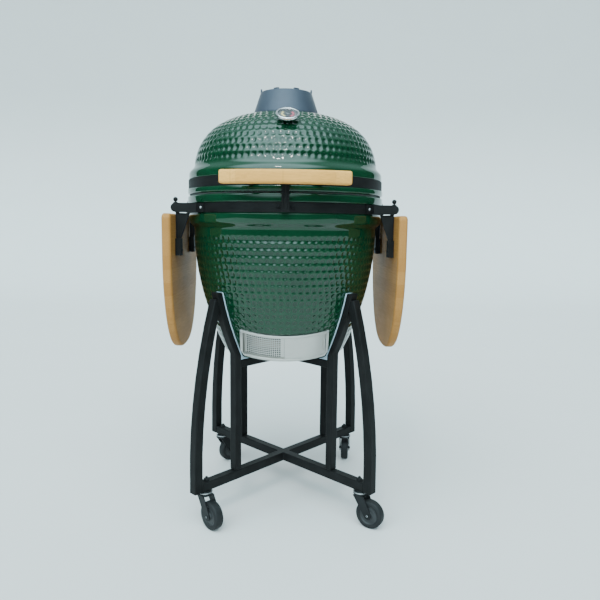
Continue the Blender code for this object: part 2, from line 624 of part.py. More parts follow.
def latch():
    """A strap that hangs from the handle's bracket, with a hook nose; it rests unhooked."""
    y, z = LATCH_PIVOT_Y, LATCH_PIVOT_Z
    front, back = y - LATCH_THICKNESS / 2, y + LATCH_THICKNESS / 2
    end = z - LATCH_DROP
    eye = [(y + LATCH_EYE_RADIUS * cos(a), z + LATCH_EYE_RADIUS * sin(a))
           for a in steps(radians(-70), radians(250), 8)]
    outline = eye + [(front, end), (back + LATCH_NOSE, end), (back + LATCH_NOSE, end + LATCH_NOSE_HEIGHT),
                     (back, end + LATCH_NOSE_HEIGHT + 0.002)]
    strap = extruded("latch_strap", outline, LATCH_WIDTH, "black_steel",
                     turn=Matrix.Rotation(pi / 2, 4, "Z"), origin=(0, y, z))
    cut(strap, rod("latch_bore_cutter", (-0.02, y, z), (0.02, y, z), LATCH_PIN_RADIUS + 0.0003))
    half = KEEPER_WIDTH / 2 / PLATE_INNER
    keeper = arc_plate("latch_keeper", PLATE_INNER, PLATE_OUTER, BASE_BAND_Z + 0.0005,
                       BASE_BAND_TOP - 0.0005, -half, half)
    lip_z = end + LATCH_NOSE_HEIGHT + 0.0040
    lip = box("keeper_lip", (-0.0095, -PLATE_OUTER - KEEPER_REACH, lip_z),
              (0.0095, -PLATE_OUTER + 0.0015, lip_z + 0.0035))
    return weld(keeper, lip)


# ----------------------------------------------------------------------- rear hinge
def hinge():
    """Two ears on each band, one long pin through all four."""
    pin = HINGE_RADIUS
    ends = HINGE_EAR_SPACING + 2 * HINGE_EAR
    rod("hinge_pin", (-ends - 0.003, HINGE_Y, HINGE_Z), (ends + 0.003, HINGE_Y, HINGE_Z),
        HINGE_PIN_RADIUS, "stainless")
    sets = {
        "hinge_base_bracket": (BASE_BAND_Z + 0.002, BASE_BAND_TOP - 0.002, HINGE_EAR_SPACING, -1),
        "hinge_lid_bracket": (LID_BAND_Z + 0.002, LID_BAND_TOP - 0.002,
                              HINGE_EAR_SPACING + HINGE_EAR + 0.0008, 1),
    }
    for name, (low, high, x, up) in sets.items():
        bracket = arc_plate(name, PLATE_INNER, PLATE_OUTER, low, high,
                            pi - HINGE_PLATE_ANGLE, pi + HINGE_PLATE_ANGLE)
        near, far = (high, low) if up < 0 else (low, high)
        outline = [(0.255, far), (0.255, near), (LIP_RADIUS + 0.0025, near)]
        outline += [(HINGE_Y + pin * cos(a), HINGE_Z - up * pin * sin(a))
                    for a in steps(radians(170), radians(-20), 6)]
        outline += [(PLATE_OUTER + 0.008, far)]
        for side in (-1, 1):
            ear = extruded(f"{name}_ear_{side}", outline, HINGE_EAR, "black_steel",
                           turn=Matrix.Translation((side * x, 0, 0)) @ Matrix.Rotation(pi / 2, 4, "Z"))
            weld(bracket, ear)
        band_space = rod(f"{name}_band_cutter", (0, 0, low - 0.02), (0, 0, high + 0.02),
                         PLATE_INNER, sides=SIDES * 2)
        bore = rod(f"{name}_bore_cutter", (-0.08, HINGE_Y, HINGE_Z), (0.08, HINGE_Y, HINGE_Z),
                   HINGE_PIN_RADIUS + 0.0003)
        cut(bracket, band_space, bore)


# ----------------------------------------------------------------------- draft door
def draft_door():
    """Curved frame on the bowl's foot; a perforated and a plain panel slide in it."""
    turn = door_turn()
    axis_point = turn @ Vector((0, 0, 0))
    inner = DOOR_RADIUS
    outer = inner + DOOR_FRAME_DEPTH
    half = DOOR_HEIGHT / 2
    frame = arc_plate("draft_door_frame", inner, outer, -half, half, -DOOR_ANGLE, DOOR_ANGLE,
                      "stainless", turn=turn)
    rail_angle = DOOR_ANGLE - DOOR_RAIL / DOOR_RADIUS
    track = half - DOOR_RAIL + DOOR_LIP
    hollow = arc_plate("door_track_cutter", inner - 0.01, outer - DOOR_LIP_DEPTH, -track, track,
                       -rail_angle, rail_angle, turn=turn)
    window = arc_plate("door_window_cutter", inner - 0.01, outer + 0.01, DOOR_LIP - track,
                       track - DOOR_LIP, -rail_angle + 0.01, rail_angle - 0.01, turn=turn)
    cut(frame, hollow, window)
    tall = track - PANEL_CLEAR
    depths = {"draft_screen_panel": inner + PANEL_CLEAR, "draft_solid_panel": inner + SOLID_PANEL_DEPTH}
    sides = {"draft_screen_panel": -1, "draft_solid_panel": 1}
    for name, low in depths.items():
        side = sides[name]
        ends = sorted((side * (rail_angle - PANEL_END), side * PANEL_MIDDLE))
        panel = arc_plate(name, low, low + PANEL_THICKNESS, -tall, tall, *ends, "stainless",
                          turn=turn, origin=axis_point)
        if side > 0:
            edge = rail_angle - TAB_FROM_END
            tab = arc_plate(name + "_tab", low + PANEL_THICKNESS / 2, outer + TAB_PROUD, -TAB_HEIGHT / 2,
                            TAB_HEIGHT / 2, edge - TAB_WIDTH, edge, turn=turn)
            weld(panel, tab)


# -------------------------------------------------------------------------- shelves
def shelf_outline():
    """Board seen from the side: straight hinge edge, rounded corners and a bowed lower edge."""
    top = SHELF_PIVOT_Z - SHELF_TOP_DROP
    half, corner = SHELF_HALF_LENGTH, SHELF_CORNER
    drop = SHELF_DROP
    points = [(half - corner + corner * cos(a), top - corner + corner * sin(a))
              for a in steps(radians(90), 0, 4)]
    points += [(half * cos(a) ** 0.78 if cos(a) > 0 else 0.0, top - drop * 0.28 - drop * 0.72 * sin(a))
               for a in steps(0, radians(90), 10)[:-1]]
    left = [(-y, z) for y, z in points[::-1]]
    return points + [(0.0, top - drop)] + left


def shelf(side, word):
    x = SHELF_PIVOT_X + 0.0005
    board = extruded(f"shelf_board_{word}", shelf_outline(), SHELF_THICKNESS, "bamboo",
                     turn=Matrix.Translation((side * (x + SHELF_THICKNESS / 2), 0, 0))
                     @ Matrix.Rotation(pi / 2, 4, "Z"),
                     origin=(side * SHELF_PIVOT_X, 0, SHELF_PIVOT_Z))
    bevel = board.modifiers.new("rounding", "BEVEL")
    bevel.width = 0.004
    bevel.segments = 1
    bevel.limit_method = "ANGLE"
    bevel.angle_limit = radians(60)
    for y, row in zip(BRACKET_YS, ("front", "rear")):
        shelf_arm(side, y, f"{row}_{word}")
        shelf_bracket(side, y, f"{row}_{word}")


def mirror_x(side):
    return Matrix.Scale(side, 4, (1, 0, 0))


def shelf_arm(side, y, word):
    """Swinging arm: round hub, wide root that meets the bracket's end, taper and screw foot."""
    px, pz = SHELF_PIVOT_X, SHELF_PIVOT_Z
    root = pz - BRACKET_HEIGHT / 2 - 0.0015
    foot_x, foot_y, foot_z = SHELF_FOOT
    foot_top = pz - 0.0810
    hub = [(px + SHELF_HUB_RADIUS * cos(a), pz + SHELF_HUB_RADIUS * sin(a))
           for a in steps(radians(10), radians(170), 8)]
    wide = min(ARM_ROOT_WIDTH, px - sqrt(SHOULDER_RADIUS ** 2 - y * y) - 0.003)
    outline = hub + [(px - 0.0095, root), (px - wide, root - 0.001), (px - wide + 0.002, root - 0.008),
                     (px - 0.0130, foot_top), (px - 0.0010, foot_top), (px - 0.0002, root)]
    turn = Matrix.Translation((0, y, 0))
    arm = extruded(f"shelf_arm_{word}", outline, SHELF_ARM_THICKNESS, "black_steel",
                   turn=mirror_x(side) @ turn, origin=(side * px, y, pz))
    face = px + 0.0005 - GAP
    foot = box(f"shelf_foot_{word}", (face - foot_x, y - foot_y / 2, foot_top - foot_z),
               (face, y + foot_y / 2, foot_top + 0.001), turn=mirror_x(side))
    bore = rod(f"arm_bore_cutter_{word}", (side * px, y - 0.02, pz), (side * px, y + 0.02, pz),
               SHELF_PIN_RADIUS + 0.0003)
    return cut(weld(arm, foot), bore)


def shelf_bracket(side, y, word):
    """Slotted arm on the base band with a flange, a pivot pin and a boss for the lock pin."""
    px, pz, half = SHELF_PIVOT_X, SHELF_PIVOT_Z, BRACKET_HEIGHT / 2
    root = sqrt(PLATE_INNER ** 2 - y * y) - 0.010
    outline = [(root, pz - half), (root, pz + half)] + [
        (px + half * cos(a), pz + half * sin(a)) for a in steps(radians(90), radians(-90), 6)]
    bracket = extruded(f"shelf_bracket_{word}", outline, BRACKET_WIDTH, "black_steel",
                       turn=mirror_x(side) @ Matrix.Translation((0, y, 0)))
    boss_top = pz + half + 0.002
    boss = rod(f"lock_boss_{word}", (side * px, y, pz + half - 0.002), (side * px, y, boss_top), 0.0060)
    middle = atan2(side * sqrt(PLATE_INNER ** 2 - y * y), -y)
    flange = arc_plate(f"shelf_flange_{word}", PLATE_INNER, PLATE_OUTER + 0.001,
                       BASE_BAND_Z + 0.0015, BASE_BAND_TOP - 0.0015,
                       middle - BRACKET_FLANGE_ANGLE, middle + BRACKET_FLANGE_ANGLE)
    slot = box(f"slot_cutter_{word}", (px - 0.0205, y - BRACKET_SLOT / 2, pz - half - 0.01),
               (px + 0.03, y + BRACKET_SLOT / 2, pz + half - BRACKET_BRIDGE), turn=mirror_x(side))
    band_space = rod(f"bracket_band_cutter_{word}", (0, 0, BASE_BAND_Z - 0.03), (0, 0, RIM_Z + 0.03),
                     PLATE_INNER, sides=SIDES * 2)
    pin_hole = rod(f"lock_hole_cutter_{word}", (side * px, y, pz + 0.005), (side * px, y, pz + 0.03),
                   LOCK_PIN_RADIUS + 0.0004)
    weld(bracket, boss, flange)
    cut(bracket, slot, band_space, pin_hole)
    reach = BRACKET_WIDTH / 2 - 0.001
    weld(bracket, rod(f"shelf_pivot_{word}", (side * px, y - reach, pz), (side * px, y + reach, pz),
                      SHELF_PIN_RADIUS))
    lock_pin(side, y, word, boss_top)


def lock_pin(side, y, word, boss_top):
    """Sprung plunger with a ball knob, its tip just over the arm's hub."""
    px = side * SHELF_PIVOT_X
    tip = SHELF_PIVOT_Z + SHELF_HUB_RADIUS + 0.0005
    ball = boss_top + 0.0008 + LOCK_KNOB_RADIUS
    start = asin(LOCK_PIN_RADIUS / LOCK_KNOB_RADIUS)
    profile = [(0, tip), (LOCK_PIN_RADIUS, tip)]
    profile += [(LOCK_KNOB_RADIUS * sin(a), ball - LOCK_KNOB_RADIUS * cos(a))
                for a in steps(start, pi, 4)[:-1]] + [(0, ball + LOCK_KNOB_RADIUS)]
    return turned(f"lock_pin_{word}", profile, "black_steel", sides=8, closed=False,
                  turn=Matrix.Translation((px, y, 0)), origin=(px, y, tip))


# ---------------------------------------------------------------------------- stand
def diagonal(sx, sy):
    """Turns a piece drawn in the XZ plane into the diagonal plane of one corner."""
    return Matrix.Rotation(atan2(sy, sx), 4, "Z")


def leg_centre(z):
    """Distance of a leg's centre line from the axis: straight foot, then an inward curve."""
    t = max(0.0, (z - LEG_STRAIGHT_Z) / (LEG_TOP_Z - LEG_STRAIGHT_Z))
    return LEG_FOOT_S - (LEG_FOOT_S - LEG_TOP_S) * t ** 2.1


def strut_line(offset, low, high, count):
    return [(bowl_radius(z) + offset, z) for z in steps(low, high, count)]


def stand():
    rail_top = RAIL_Z + TUBE
    pad_low = BOWL_FOOT_Z - PAD_THICKNESS
    post_in, post_out = POST_S - POST_DEPTH / 2, POST_S + POST_DEPTH / 2
    strut_in, strut_out = PAD_THICKNESS, PAD_THICKNESS + POST_DEPTH - 0.002
    bend_in, bend_out = bowl_height(post_in - strut_in), bowl_height(post_out - strut_out)
    for word, (sx, sy, heading) in CORNERS.items():
        turn = diagonal(sx, sy)
        zs = [RAIL_Z] + steps(LEG_STRAIGHT_Z, LEG_TOP_Z, 7)
        outline = [(leg_centre(z) + TUBE / 2, z) for z in zs]
        outline += [(leg_centre(z) - TUBE / 2, z) for z in zs[::-1]]
        leg = extruded(f"leg_{word}", outline, TUBE, "black_steel", turn=turn)
        space = strut_line(strut_out + GAP, BOWL_FOOT_Z + 0.02, PAD_TOP_Z + 0.02, 10)
        space += [(0.10, PAD_TOP_Z + 0.02), (0.10, BOWL_FOOT_Z + 0.02)]
        cut(leg, extruded(f"mitre_cutter_{word}", space, 2 * TUBE, "black_steel", turn=turn))
        post = [(post_in, rail_top + GAP), (post_out, rail_top + GAP)]
        post += strut_line(strut_out, bend_out, PAD_TOP_Z, 6)
        post += strut_line(strut_in, bend_in, PAD_TOP_Z, 6)[::-1]
        extruded(f"post_{word}", post, TUBE, "black_steel", turn=turn)
        pad = strut_line(GAP, BOWL_FOOT_Z + 0.006, PAD_TOP_Z, 6)[::-1]
        pad += [(BOWL_FOOT_RADIUS - 0.008, BOWL_FOOT_Z - GAP), (PAD_END, BOWL_FOOT_Z - GAP),
                (PAD_END, pad_low + GAP), (post_in - GAP, pad_low + GAP)]
        pad += strut_line(strut_in - GAP, bend_in, PAD_TOP_Z, 6)
        extruded(f"cradle_pad_{word}", pad, TUBE, "pad", turn=turn)
        caster(word, sx, sy, heading)
    cross("lower_cross", leg_centre(RAIL_Z) - TUBE / 2 - GAP, RAIL_Z, rail_top)
    cross("upper_cross", post_in - GAP, pad_low - UPPER_RAIL_HEIGHT, pad_low)


def cross(name, reach, low, high):
    """Two rails welded into an X on the diagonals."""
    rail = box(name, (-reach, -TUBE / 2, low), (reach, TUBE / 2, high), turn=diagonal(1, -1))
    return weld(rail, box(name + "_arm", (-reach, -TUBE / 2, low), (reach, TUBE / 2, high),
                          turn=diagonal(1, 1)))


# -------------------------------------------------------------------------- casters
def caster(word, sx, sy, heading):
    """Swivel fork under the rail and a wheel that turns on the fork's axle."""
    at = Vector((sx, sy, 0)) * CASTER_S / sqrt(2)
    turn = Matrix.Translation(at) @ Matrix.Rotation(heading, 4, "Z")
    top = RAIL_Z - 0.0005
    cup = turned(f"caster_fork_{word}", [(0, top - 0.013), (CUP_RADIUS - 0.002, top - 0.013),
                                         (CUP_RADIUS, top - 0.009), (CUP_RADIUS - 0.004, top), (0, top)],
                 "black_steel", sides=12, closed=False, turn=turn, origin=at)
    half = WHEEL_WIDTH / 2 + FORK_CLEAR
    low_round = [(CASTER_TRAIL + 0.011 * cos(a), WHEEL_RADIUS + 0.011 * sin(a))
                 for a in steps(radians(35), radians(-160), 5)]
    cheek = [(-0.014, top - 0.011), (0.016, top - 0.011)] + low_round
    for side in (-1, 1):
        plate = extruded(f"cheek_{word}_{side}", cheek, FORK_SHEET, "black_steel",
                         turn=turn @ Matrix.Translation((0, side * (half + FORK_SHEET / 2), 0)))
        weld(cup, plate)
    reach = half + FORK_SHEET + 0.002
    weld(cup, rod(f"axle_{word}", (CASTER_TRAIL, -reach, WHEEL_RADIUS), (CASTER_TRAIL, reach, WHEEL_RADIUS),
                  AXLE_RADIUS, turn=turn))
    wheel(word, turn)


def wheel(word, turn):
    """Wheel with a flat of its rim on the floor, bored for the axle."""
    centre = turn @ Vector((CASTER_TRAIL, 0, WHEEL_RADIUS))
    rim = WHEEL_RADIUS / cos(pi / WHEEL_SIDES)
    w = WHEEL_WIDTH / 2
    bore = AXLE_RADIUS + 0.0004
    profile = [(bore, -w), (rim - 0.004, -w), (rim, 0.004 - w)]
    profile += [(r, -z) for r, z in profile[::-1]]
    stand_up = Matrix.Rotation(pi / WHEEL_SIDES, 4, "Y") @ Matrix.Rotation(pi / 2, 4, "X")
    return turned(f"caster_wheel_{word}", profile, "tyre_rubber", sides=WHEEL_SIDES,
                  turn=turn @ Matrix.Translation((CASTER_TRAIL, 0, WHEEL_RADIUS)) @ stand_up, origin=centre)


# ----------------------------------------------------------------------------- build
def hang_on(axis_name, point, names):
    """Parent pieces to an empty on their joint's axis, each one left where it is."""
    axis = bpy.data.objects.new(axis_name, None)
    axis.location = point
    bpy.context.scene.collection.objects.link(axis)
    for name in names:
        piece = bpy.data.objects[name]
        piece.parent = axis
        piece.matrix_parent_inverse = Matrix.Translation(-Vector(point))


def build():
    for obj in list(bpy.data.objects):
        bpy.data.objects.remove(obj, do_unlink=True)
    base_bowl()
    lid = dome_lid()
    bands_and_gasket()
    firebox()
    coal_grate()
    fire_ring()
    cooking_grate()
    damper(chimney())
    cut(lid, thermometer())
    handle()
    latch()
    hinge()
    draft_door()
    shelf(-1, "left")
    shelf(1, "right")
    stand()
    hang_on("lid_axis", (0, HINGE_Y, HINGE_Z), LID_PIECES)


build()
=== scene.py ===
# %% [markdown]
# # A ceramic charcoal grill on a caster stand
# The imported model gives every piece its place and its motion. This lesson gives the pieces their
# looks: dimpled and glazed clay shells, powder-coated steel, bamboo, cast iron and stainless sheet.
# Each step says first what the real piece is, and why it is made the way it is.

# %% Load the frame
import json
from math import acos, asin, atan2, cos, pi, radians, sin, sqrt, tau

import bmesh
import bpy
import numpy as np
from mathutils import Matrix, Vector

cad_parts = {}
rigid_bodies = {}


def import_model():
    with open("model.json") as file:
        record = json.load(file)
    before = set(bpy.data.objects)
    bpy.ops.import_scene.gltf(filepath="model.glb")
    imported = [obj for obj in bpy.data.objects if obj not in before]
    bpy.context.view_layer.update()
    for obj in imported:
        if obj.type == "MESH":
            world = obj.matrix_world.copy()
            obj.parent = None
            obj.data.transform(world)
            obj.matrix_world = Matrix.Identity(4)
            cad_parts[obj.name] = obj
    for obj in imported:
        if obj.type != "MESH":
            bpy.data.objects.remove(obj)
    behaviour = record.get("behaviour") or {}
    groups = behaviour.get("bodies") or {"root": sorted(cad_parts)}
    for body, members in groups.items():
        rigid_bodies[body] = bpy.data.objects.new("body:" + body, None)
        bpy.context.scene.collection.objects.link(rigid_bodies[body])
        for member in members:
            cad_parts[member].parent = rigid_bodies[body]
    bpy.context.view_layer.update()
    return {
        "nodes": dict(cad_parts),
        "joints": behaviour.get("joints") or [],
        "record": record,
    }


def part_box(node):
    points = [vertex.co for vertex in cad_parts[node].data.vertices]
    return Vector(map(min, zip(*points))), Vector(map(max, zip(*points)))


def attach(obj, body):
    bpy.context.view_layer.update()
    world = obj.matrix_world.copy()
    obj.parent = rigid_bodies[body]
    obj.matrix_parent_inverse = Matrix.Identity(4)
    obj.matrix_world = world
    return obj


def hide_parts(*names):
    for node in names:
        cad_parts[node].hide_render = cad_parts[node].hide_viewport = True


for leftover in list(bpy.data.objects):
    bpy.data.objects.remove(leftover, do_unlink=True)
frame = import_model()
RECORD = frame["record"]
BODY_OF = {node: body for body, nodes in RECORD["behaviour"]["bodies"].items() for node in nodes}
SLOT_OF = {part["node"]: part["material_slot"] for part in RECORD["subparts"]}
JOINT = {joint["name"]: joint for joint in frame["joints"]}
CORNERS = ("front_left", "front_right", "rear_left", "rear_right")

# %% [markdown]
# ## Node sheets that read like sums
# A material and a shape tree are both sheets of nodes. Wiring them by hand hides the idea, so one
# class adds a node in a single call, and another wraps what comes out of it. Its operators add Math
# nodes, so `1 - mask * 0.3` means just that.

# %% Signals and sheets
class Signal:
    """What leaves a node. Sums and products of it add Math nodes."""

    def __init__(self, sheet, socket):
        self.sheet = sheet
        self.socket = socket

    def math(self, operation, *values):
        return self.sheet.node("ShaderNodeMath", {"operation": operation}, dict(enumerate(values)))

    def __add__(self, other):
        return self.math("ADD", self, other)

    def __sub__(self, other):
        return self.math("SUBTRACT", self, other)

    def __rsub__(self, other):
        return self.math("SUBTRACT", other, self)

    def __mul__(self, other):
        return self.math("MULTIPLY", self, other)

    def __truediv__(self, other):
        return self.math("DIVIDE", self, other)

    def __pow__(self, other):
        return self.math("POWER", self, other)

    def __lt__(self, other):
        return self.math("LESS_THAN", self, other)

    __radd__ = __add__
    __rmul__ = __mul__


class Sheet:
    """A node tree with one call for each node."""

    def __init__(self, tree):
        self.tree = tree

    def node(self, kind, settings=None, sockets=None, out=None):
        made = self.tree.nodes.new(kind)
        for key, value in (settings or {}).items():
            setattr(made, key, value)
        live = [socket for socket in made.inputs if socket.enabled]
        for key, value in (sockets or {}).items():
            socket = live[key] if isinstance(key, int) else next(s for s in live if s.name == key)
            self.feed(socket, value)
        outs = [socket for socket in made.outputs if socket.enabled]
        found = next((s for s in outs if s.name == out), outs[0]) if outs else None
        return Signal(self, found) if found else made

    def feed(self, socket, value):
        if isinstance(value, Signal):
            self.tree.links.new(value.socket, socket)
        else:
            socket.default_value = value


print("signals and sheets are ready")

# %% [markdown]
# ## A finish
# Every material starts from a Principled shader. What is the same all over is set on its sockets,
# and what varies comes from noise in Object coordinates, so a pattern stays on its piece.

# %% Finishes
class Finish(Sheet):
    """A material: noise, colour mixes and a bump over a Principled shader."""

    def __init__(self, name, **constants):
        self.material = bpy.data.materials.new(name)
        self.material.use_nodes = True
        super().__init__(self.material.node_tree)
        self.shader = self.tree.nodes["Principled BSDF"]
        self.at = self.node("ShaderNodeTexCoord", out="Object")
        for key, value in constants.items():
            self.shader.inputs[key.replace("_", " ")].default_value = value

    def stretched(self, x, y, z):
        return self.node("ShaderNodeVectorMath", {"operation": "MULTIPLY"}, {0: self.at, 1: (x, y, z)})

    def axis(self, word):
        return self.node("ShaderNodeSeparateXYZ", sockets={0: self.at}, out=word)

    def noise(self, scale, detail=3.0, vector=None, roughness=0.5):
        return self.node("ShaderNodeTexNoise", sockets={
            "Vector": vector or self.at, "Scale": scale, "Detail": detail, "Roughness": roughness})

    def attribute(self, name):
        return self.node("ShaderNodeAttribute", {"attribute_name": name}, out="Fac")

    def clamp(self, value, low, high):
        """Stretch the part of a signal from low to high over 0 to 1."""
        return self.node("ShaderNodeMapRange", sockets={
            "Value": value, "From Min": low, "From Max": high, "To Min": 0.0, "To Max": 1.0})

    def mix(self, factor, first, second):
        colours = [c if isinstance(c, Signal) else (*c, 1.0) for c in (first, second)]
        return self.node("ShaderNodeMix", {"data_type": "RGBA"},
                         {"Factor": factor, "A": colours[0], "B": colours[1]})

    def bump(self, height, distance, strength=1.0):
        return self.node("ShaderNodeBump", sockets={
            "Height": height, "Distance": distance, "Strength": strength})

    def give(self, **sockets):
        for key, value in sockets.items():
            self.feed(self.shader.inputs[key.replace("_", " ")], value)
        return self.material


# %% [markdown]
# ### Glaze
# A thick coloured glass over clay. It runs off the edges of each hollow and pools in the bottom, so
# the rims are paler and thinner and the hollows deeper in colour. The shape tree further down leaves
# a `hollow` value on the mesh, which this finish reads. The gloss is a clear coat.

# %% Glaze and clay
def green_glaze():
    f = Finish("green_glaze", Specular_IOR_Level=0.0, Coat_Weight=1.0, Coat_Roughness=0.05, Coat_IOR=1.5)
    pool = f.attribute("hollow")
    cloud = f.noise(9.0, 4.0)
    speck = f.clamp(f.noise(420.0, 2.0), 0.62, 0.78)
    thick = f.mix(f.clamp(cloud, 0.3, 0.7), (0.0020, 0.027, 0.0110), (0.0034, 0.038, 0.0155))
    pooled = f.mix(pool * 0.75, thick, (0.0015, 0.020, 0.010))
    tint = f.mix(speck * 0.35, pooled, (0.010, 0.080, 0.038))
    ripple = f.noise(34.0, 2.0) + f.noise(210.0, 2.0) * 0.10
    return f.give(Base_Color=tint, Roughness=0.14 + cloud * 0.08, Normal=f.bump(ripple, 0.0005, 0.35))


def fire_clay():
    f = Finish("fire_clay")
    grain = f.noise(260.0, 5.0, roughness=0.7)
    stain = f.clamp(f.noise(14.0, 4.0), 0.35, 0.7)
    colour = f.mix(stain, (0.44, 0.34, 0.25), (0.30, 0.225, 0.165))
    sooted = f.mix(f.clamp(grain, 0.55, 0.75) * 0.4, colour, (0.16, 0.12, 0.09))
    return f.give(Base_Color=sooted, Roughness=0.82 + grain * 0.15, Normal=f.bump(grain, 0.0008, 0.6))


GLAZE, CLAY = green_glaze(), fire_clay()
print("glaze and clay")

# %% [markdown]
# ### Metals
# The stand is powder-coated: nearly black, with a fine orange-peel skin. The chimney is enamelled
# cast iron with sand-cast grain. The draft door is brushed along its length, which is noise squeezed
# hard along one axis.

# %% Metals
def coated(name, colour, rough, peel=900.0):
    f = Finish(name, Specular_IOR_Level=0.14)
    skin = f.noise(peel, 2.0)
    wear = f.noise(22.0, 4.0)
    tint = f.mix(f.clamp(wear, 0.35, 0.7), colour, tuple(c * 1.5 + 0.002 for c in colour))
    return f.give(Base_Color=tint, Roughness=rough + wear * 0.16, Normal=f.bump(skin, 0.00025, 0.35))


def cast_iron():
    f = Finish("cast_iron")
    grain = f.noise(480.0, 4.0, roughness=0.65)
    cloud = f.clamp(f.noise(26.0, 4.0), 0.3, 0.7)
    colour = f.mix(cloud, (0.034, 0.042, 0.062), (0.052, 0.063, 0.088))
    return f.give(Base_Color=colour, Roughness=0.44 + cloud * 0.14, Metallic=0.35 + cloud * 0.10,
                  Normal=f.bump(grain, 0.0006, 0.55))


def brushed(name, stretch, colour=(0.60, 0.585, 0.555), rough=0.26):
    f = Finish(name, Metallic=1.0)
    lines = f.noise(1.0, 3.0, f.stretched(*stretch), 0.7)
    smear = f.noise(16.0, 3.0)
    tint = f.mix(f.clamp(lines, 0.3, 0.7), tuple(c * 0.86 for c in colour), colour)
    return f.give(Base_Color=tint, Roughness=rough + lines * 0.14 + smear * 0.08,
                  Normal=f.bump(lines, 0.00012, 0.5))


BLACK = coated("black_powder_coat", (0.0045, 0.0043, 0.0043), 0.50)
CASTER_BLACK = coated("caster_black", (0.009, 0.009, 0.0095), 0.38, 600.0)
IRON = cast_iron()
SHEET_STEEL = brushed("brushed_stainless", (40.0, 900.0, 1600.0))
BRIGHT = brushed("bright_steel", (300.0, 300.0, 300.0), (0.72, 0.71, 0.73), 0.10)
GRILL_STEEL = brushed("grate_steel", (700.0, 60.0, 700.0), (0.58, 0.57, 0.54), 0.24)
ZINC = brushed("zinc_screws", (500.0, 500.0, 500.0), (0.46, 0.46, 0.47), 0.30)
print("seven metals")

# %% [markdown]
# ### Bamboo
# The shelves and the handle are glued from long strips. Each strip has its own tone, fine fibres
# run along it, and every so often a darker line crosses it where the stalk had a joint.

# %% Bamboo, felt, tape, rubber and glass
def bamboo(name, along, across, strip, pale, dark):
    """Strips run along one axis and lie side by side on another, between two tones."""
    f = Finish(name, Specular_IOR_Level=0.10, Coat_Weight=0.03, Coat_Roughness=0.35)
    steps = ((0.7, 0.64, 0.55), (0.62, 0.56, 0.48), (0.5, 0.45, 0.4))
    fibre_tone, blotch_tone, line_tone = (tuple(d * k for d, k in zip(dark, step)) for step in steps)
    place = f.axis(across) / strip
    number = place.math("FLOOR", place)
    tone = f.node("ShaderNodeTexWhiteNoise", {"noise_dimensions": "1D"}, {"W": number}, out="Value")
    squeeze = {axis: (14.0 if axis == along else 420.0) for axis in "XYZ"}
    fibre = f.noise(1.0, 5.0, f.stretched(*squeeze.values()), 0.65)
    blotch = f.clamp(f.noise(13.0, 3.0), 0.40, 0.75)
    run = f.axis(along) / 0.23 + tone * 7.0
    node_line = run.math("FRACT", run) < 0.012
    base = f.mix(tone, dark, pale)
    fibres = f.mix(f.clamp(fibre, 0.42, 0.68) * 0.55, base, fibre_tone)
    aged = f.mix(blotch * 0.28, fibres, blotch_tone)
    lined = f.mix(node_line * 0.22, aged, line_tone)
    edge = place.math("FRACT", place)
    seam = edge < 0.012
    glued = f.mix(seam * 0.3, lined, line_tone)
    return f.give(Base_Color=glued, Roughness=0.48 + fibre * 0.2,
                  Normal=f.bump(fibre - seam * 0.6, 0.00025, 0.5))


def felt():
    f = Finish("gasket_felt", Sheen_Weight=0.3)
    fuzz = f.noise(900.0, 4.0, roughness=0.7)
    return f.give(Base_Color=f.mix(fuzz, (0.018, 0.018, 0.018), (0.075, 0.075, 0.072)),
                  Roughness=0.9 + fuzz * 0.1, Normal=f.bump(fuzz, 0.0008, 0.8))


def tape():
    """Woven heat-proof tape: two sets of fine ribs, one over the other."""
    f = Finish("pad_tape", Sheen_Weight=0.25)
    ribs = 2400.0  # radians to the metre
    weft, warp = f.axis("Z") * ribs, f.axis("X") * ribs
    weave = weft.math("SINE", weft) * warp.math("SINE", warp)
    colour = f.mix(0.5 + weave * 0.5, (0.30, 0.40, 0.48), (0.47, 0.58, 0.67))
    return f.give(Base_Color=colour, Roughness=0.80 + weave * 0.1, Normal=f.bump(weave, 0.0004, 0.5))


def rubber(name, colour, rough):
    f = Finish(name, Specular_IOR_Level=0.25)
    dust = f.clamp(f.noise(60.0, 4.0), 0.45, 0.8)
    skin = f.noise(700.0, 3.0)
    return f.give(Base_Color=f.mix(dust * 0.5, colour, tuple(c * 2.4 for c in colour)),
                  Roughness=rough + dust * 0.15, Normal=f.bump(skin, 0.0003, 0.4))


def clear_glass():
    f = Finish("dial_glass", Transmission_Weight=1.0, IOR=1.45, Base_Color=(1.0, 1.0, 1.0, 1.0))
    smear = f.noise(60.0, 3.0)
    return f.give(Roughness=0.01 + smear * 0.03)


def enamel(name, colour, rough=0.35):
    f = Finish(name)
    cloud = f.noise(300.0, 3.0)
    return f.give(Base_Color=f.mix(cloud * 0.3, colour, tuple(c * 0.8 for c in colour)),
                  Roughness=rough + cloud * 0.1)


SHELF_WOOD = bamboo("shelf_bamboo", "Y", "Z", 0.034, (0.44, 0.205, 0.060), (0.38, 0.170, 0.046))
# Painted light: the handle's bamboo has tones about twice as light as the shelves', standing for its lit
# front face.
HANDLE_BAMBOO_PAINTED_LIT = bamboo("handle_bamboo", "X", "Y", 0.020, (0.86, 0.430, 0.115), (0.77, 0.370, 0.092))
FELT, TAPE = felt(), tape()
TYRE = rubber("tyre_rubber", (0.009, 0.009, 0.0095), 0.6)
HUB = rubber("hub_plastic", (0.024, 0.024, 0.025), 0.45)
GLASS = clear_glass()
DIAL_BLACK = enamel("dial_black", (0.012, 0.010, 0.016))
DIAL_CREAM = enamel("dial_cream", (0.82, 0.66, 0.30))
DIAL_RED = enamel("dial_red", (0.62, 0.07, 0.12))
DIAL_WHITE = enamel("dial_white", (0.85, 0.84, 0.82))
print("wood, soft goods, rubber and dial paints")
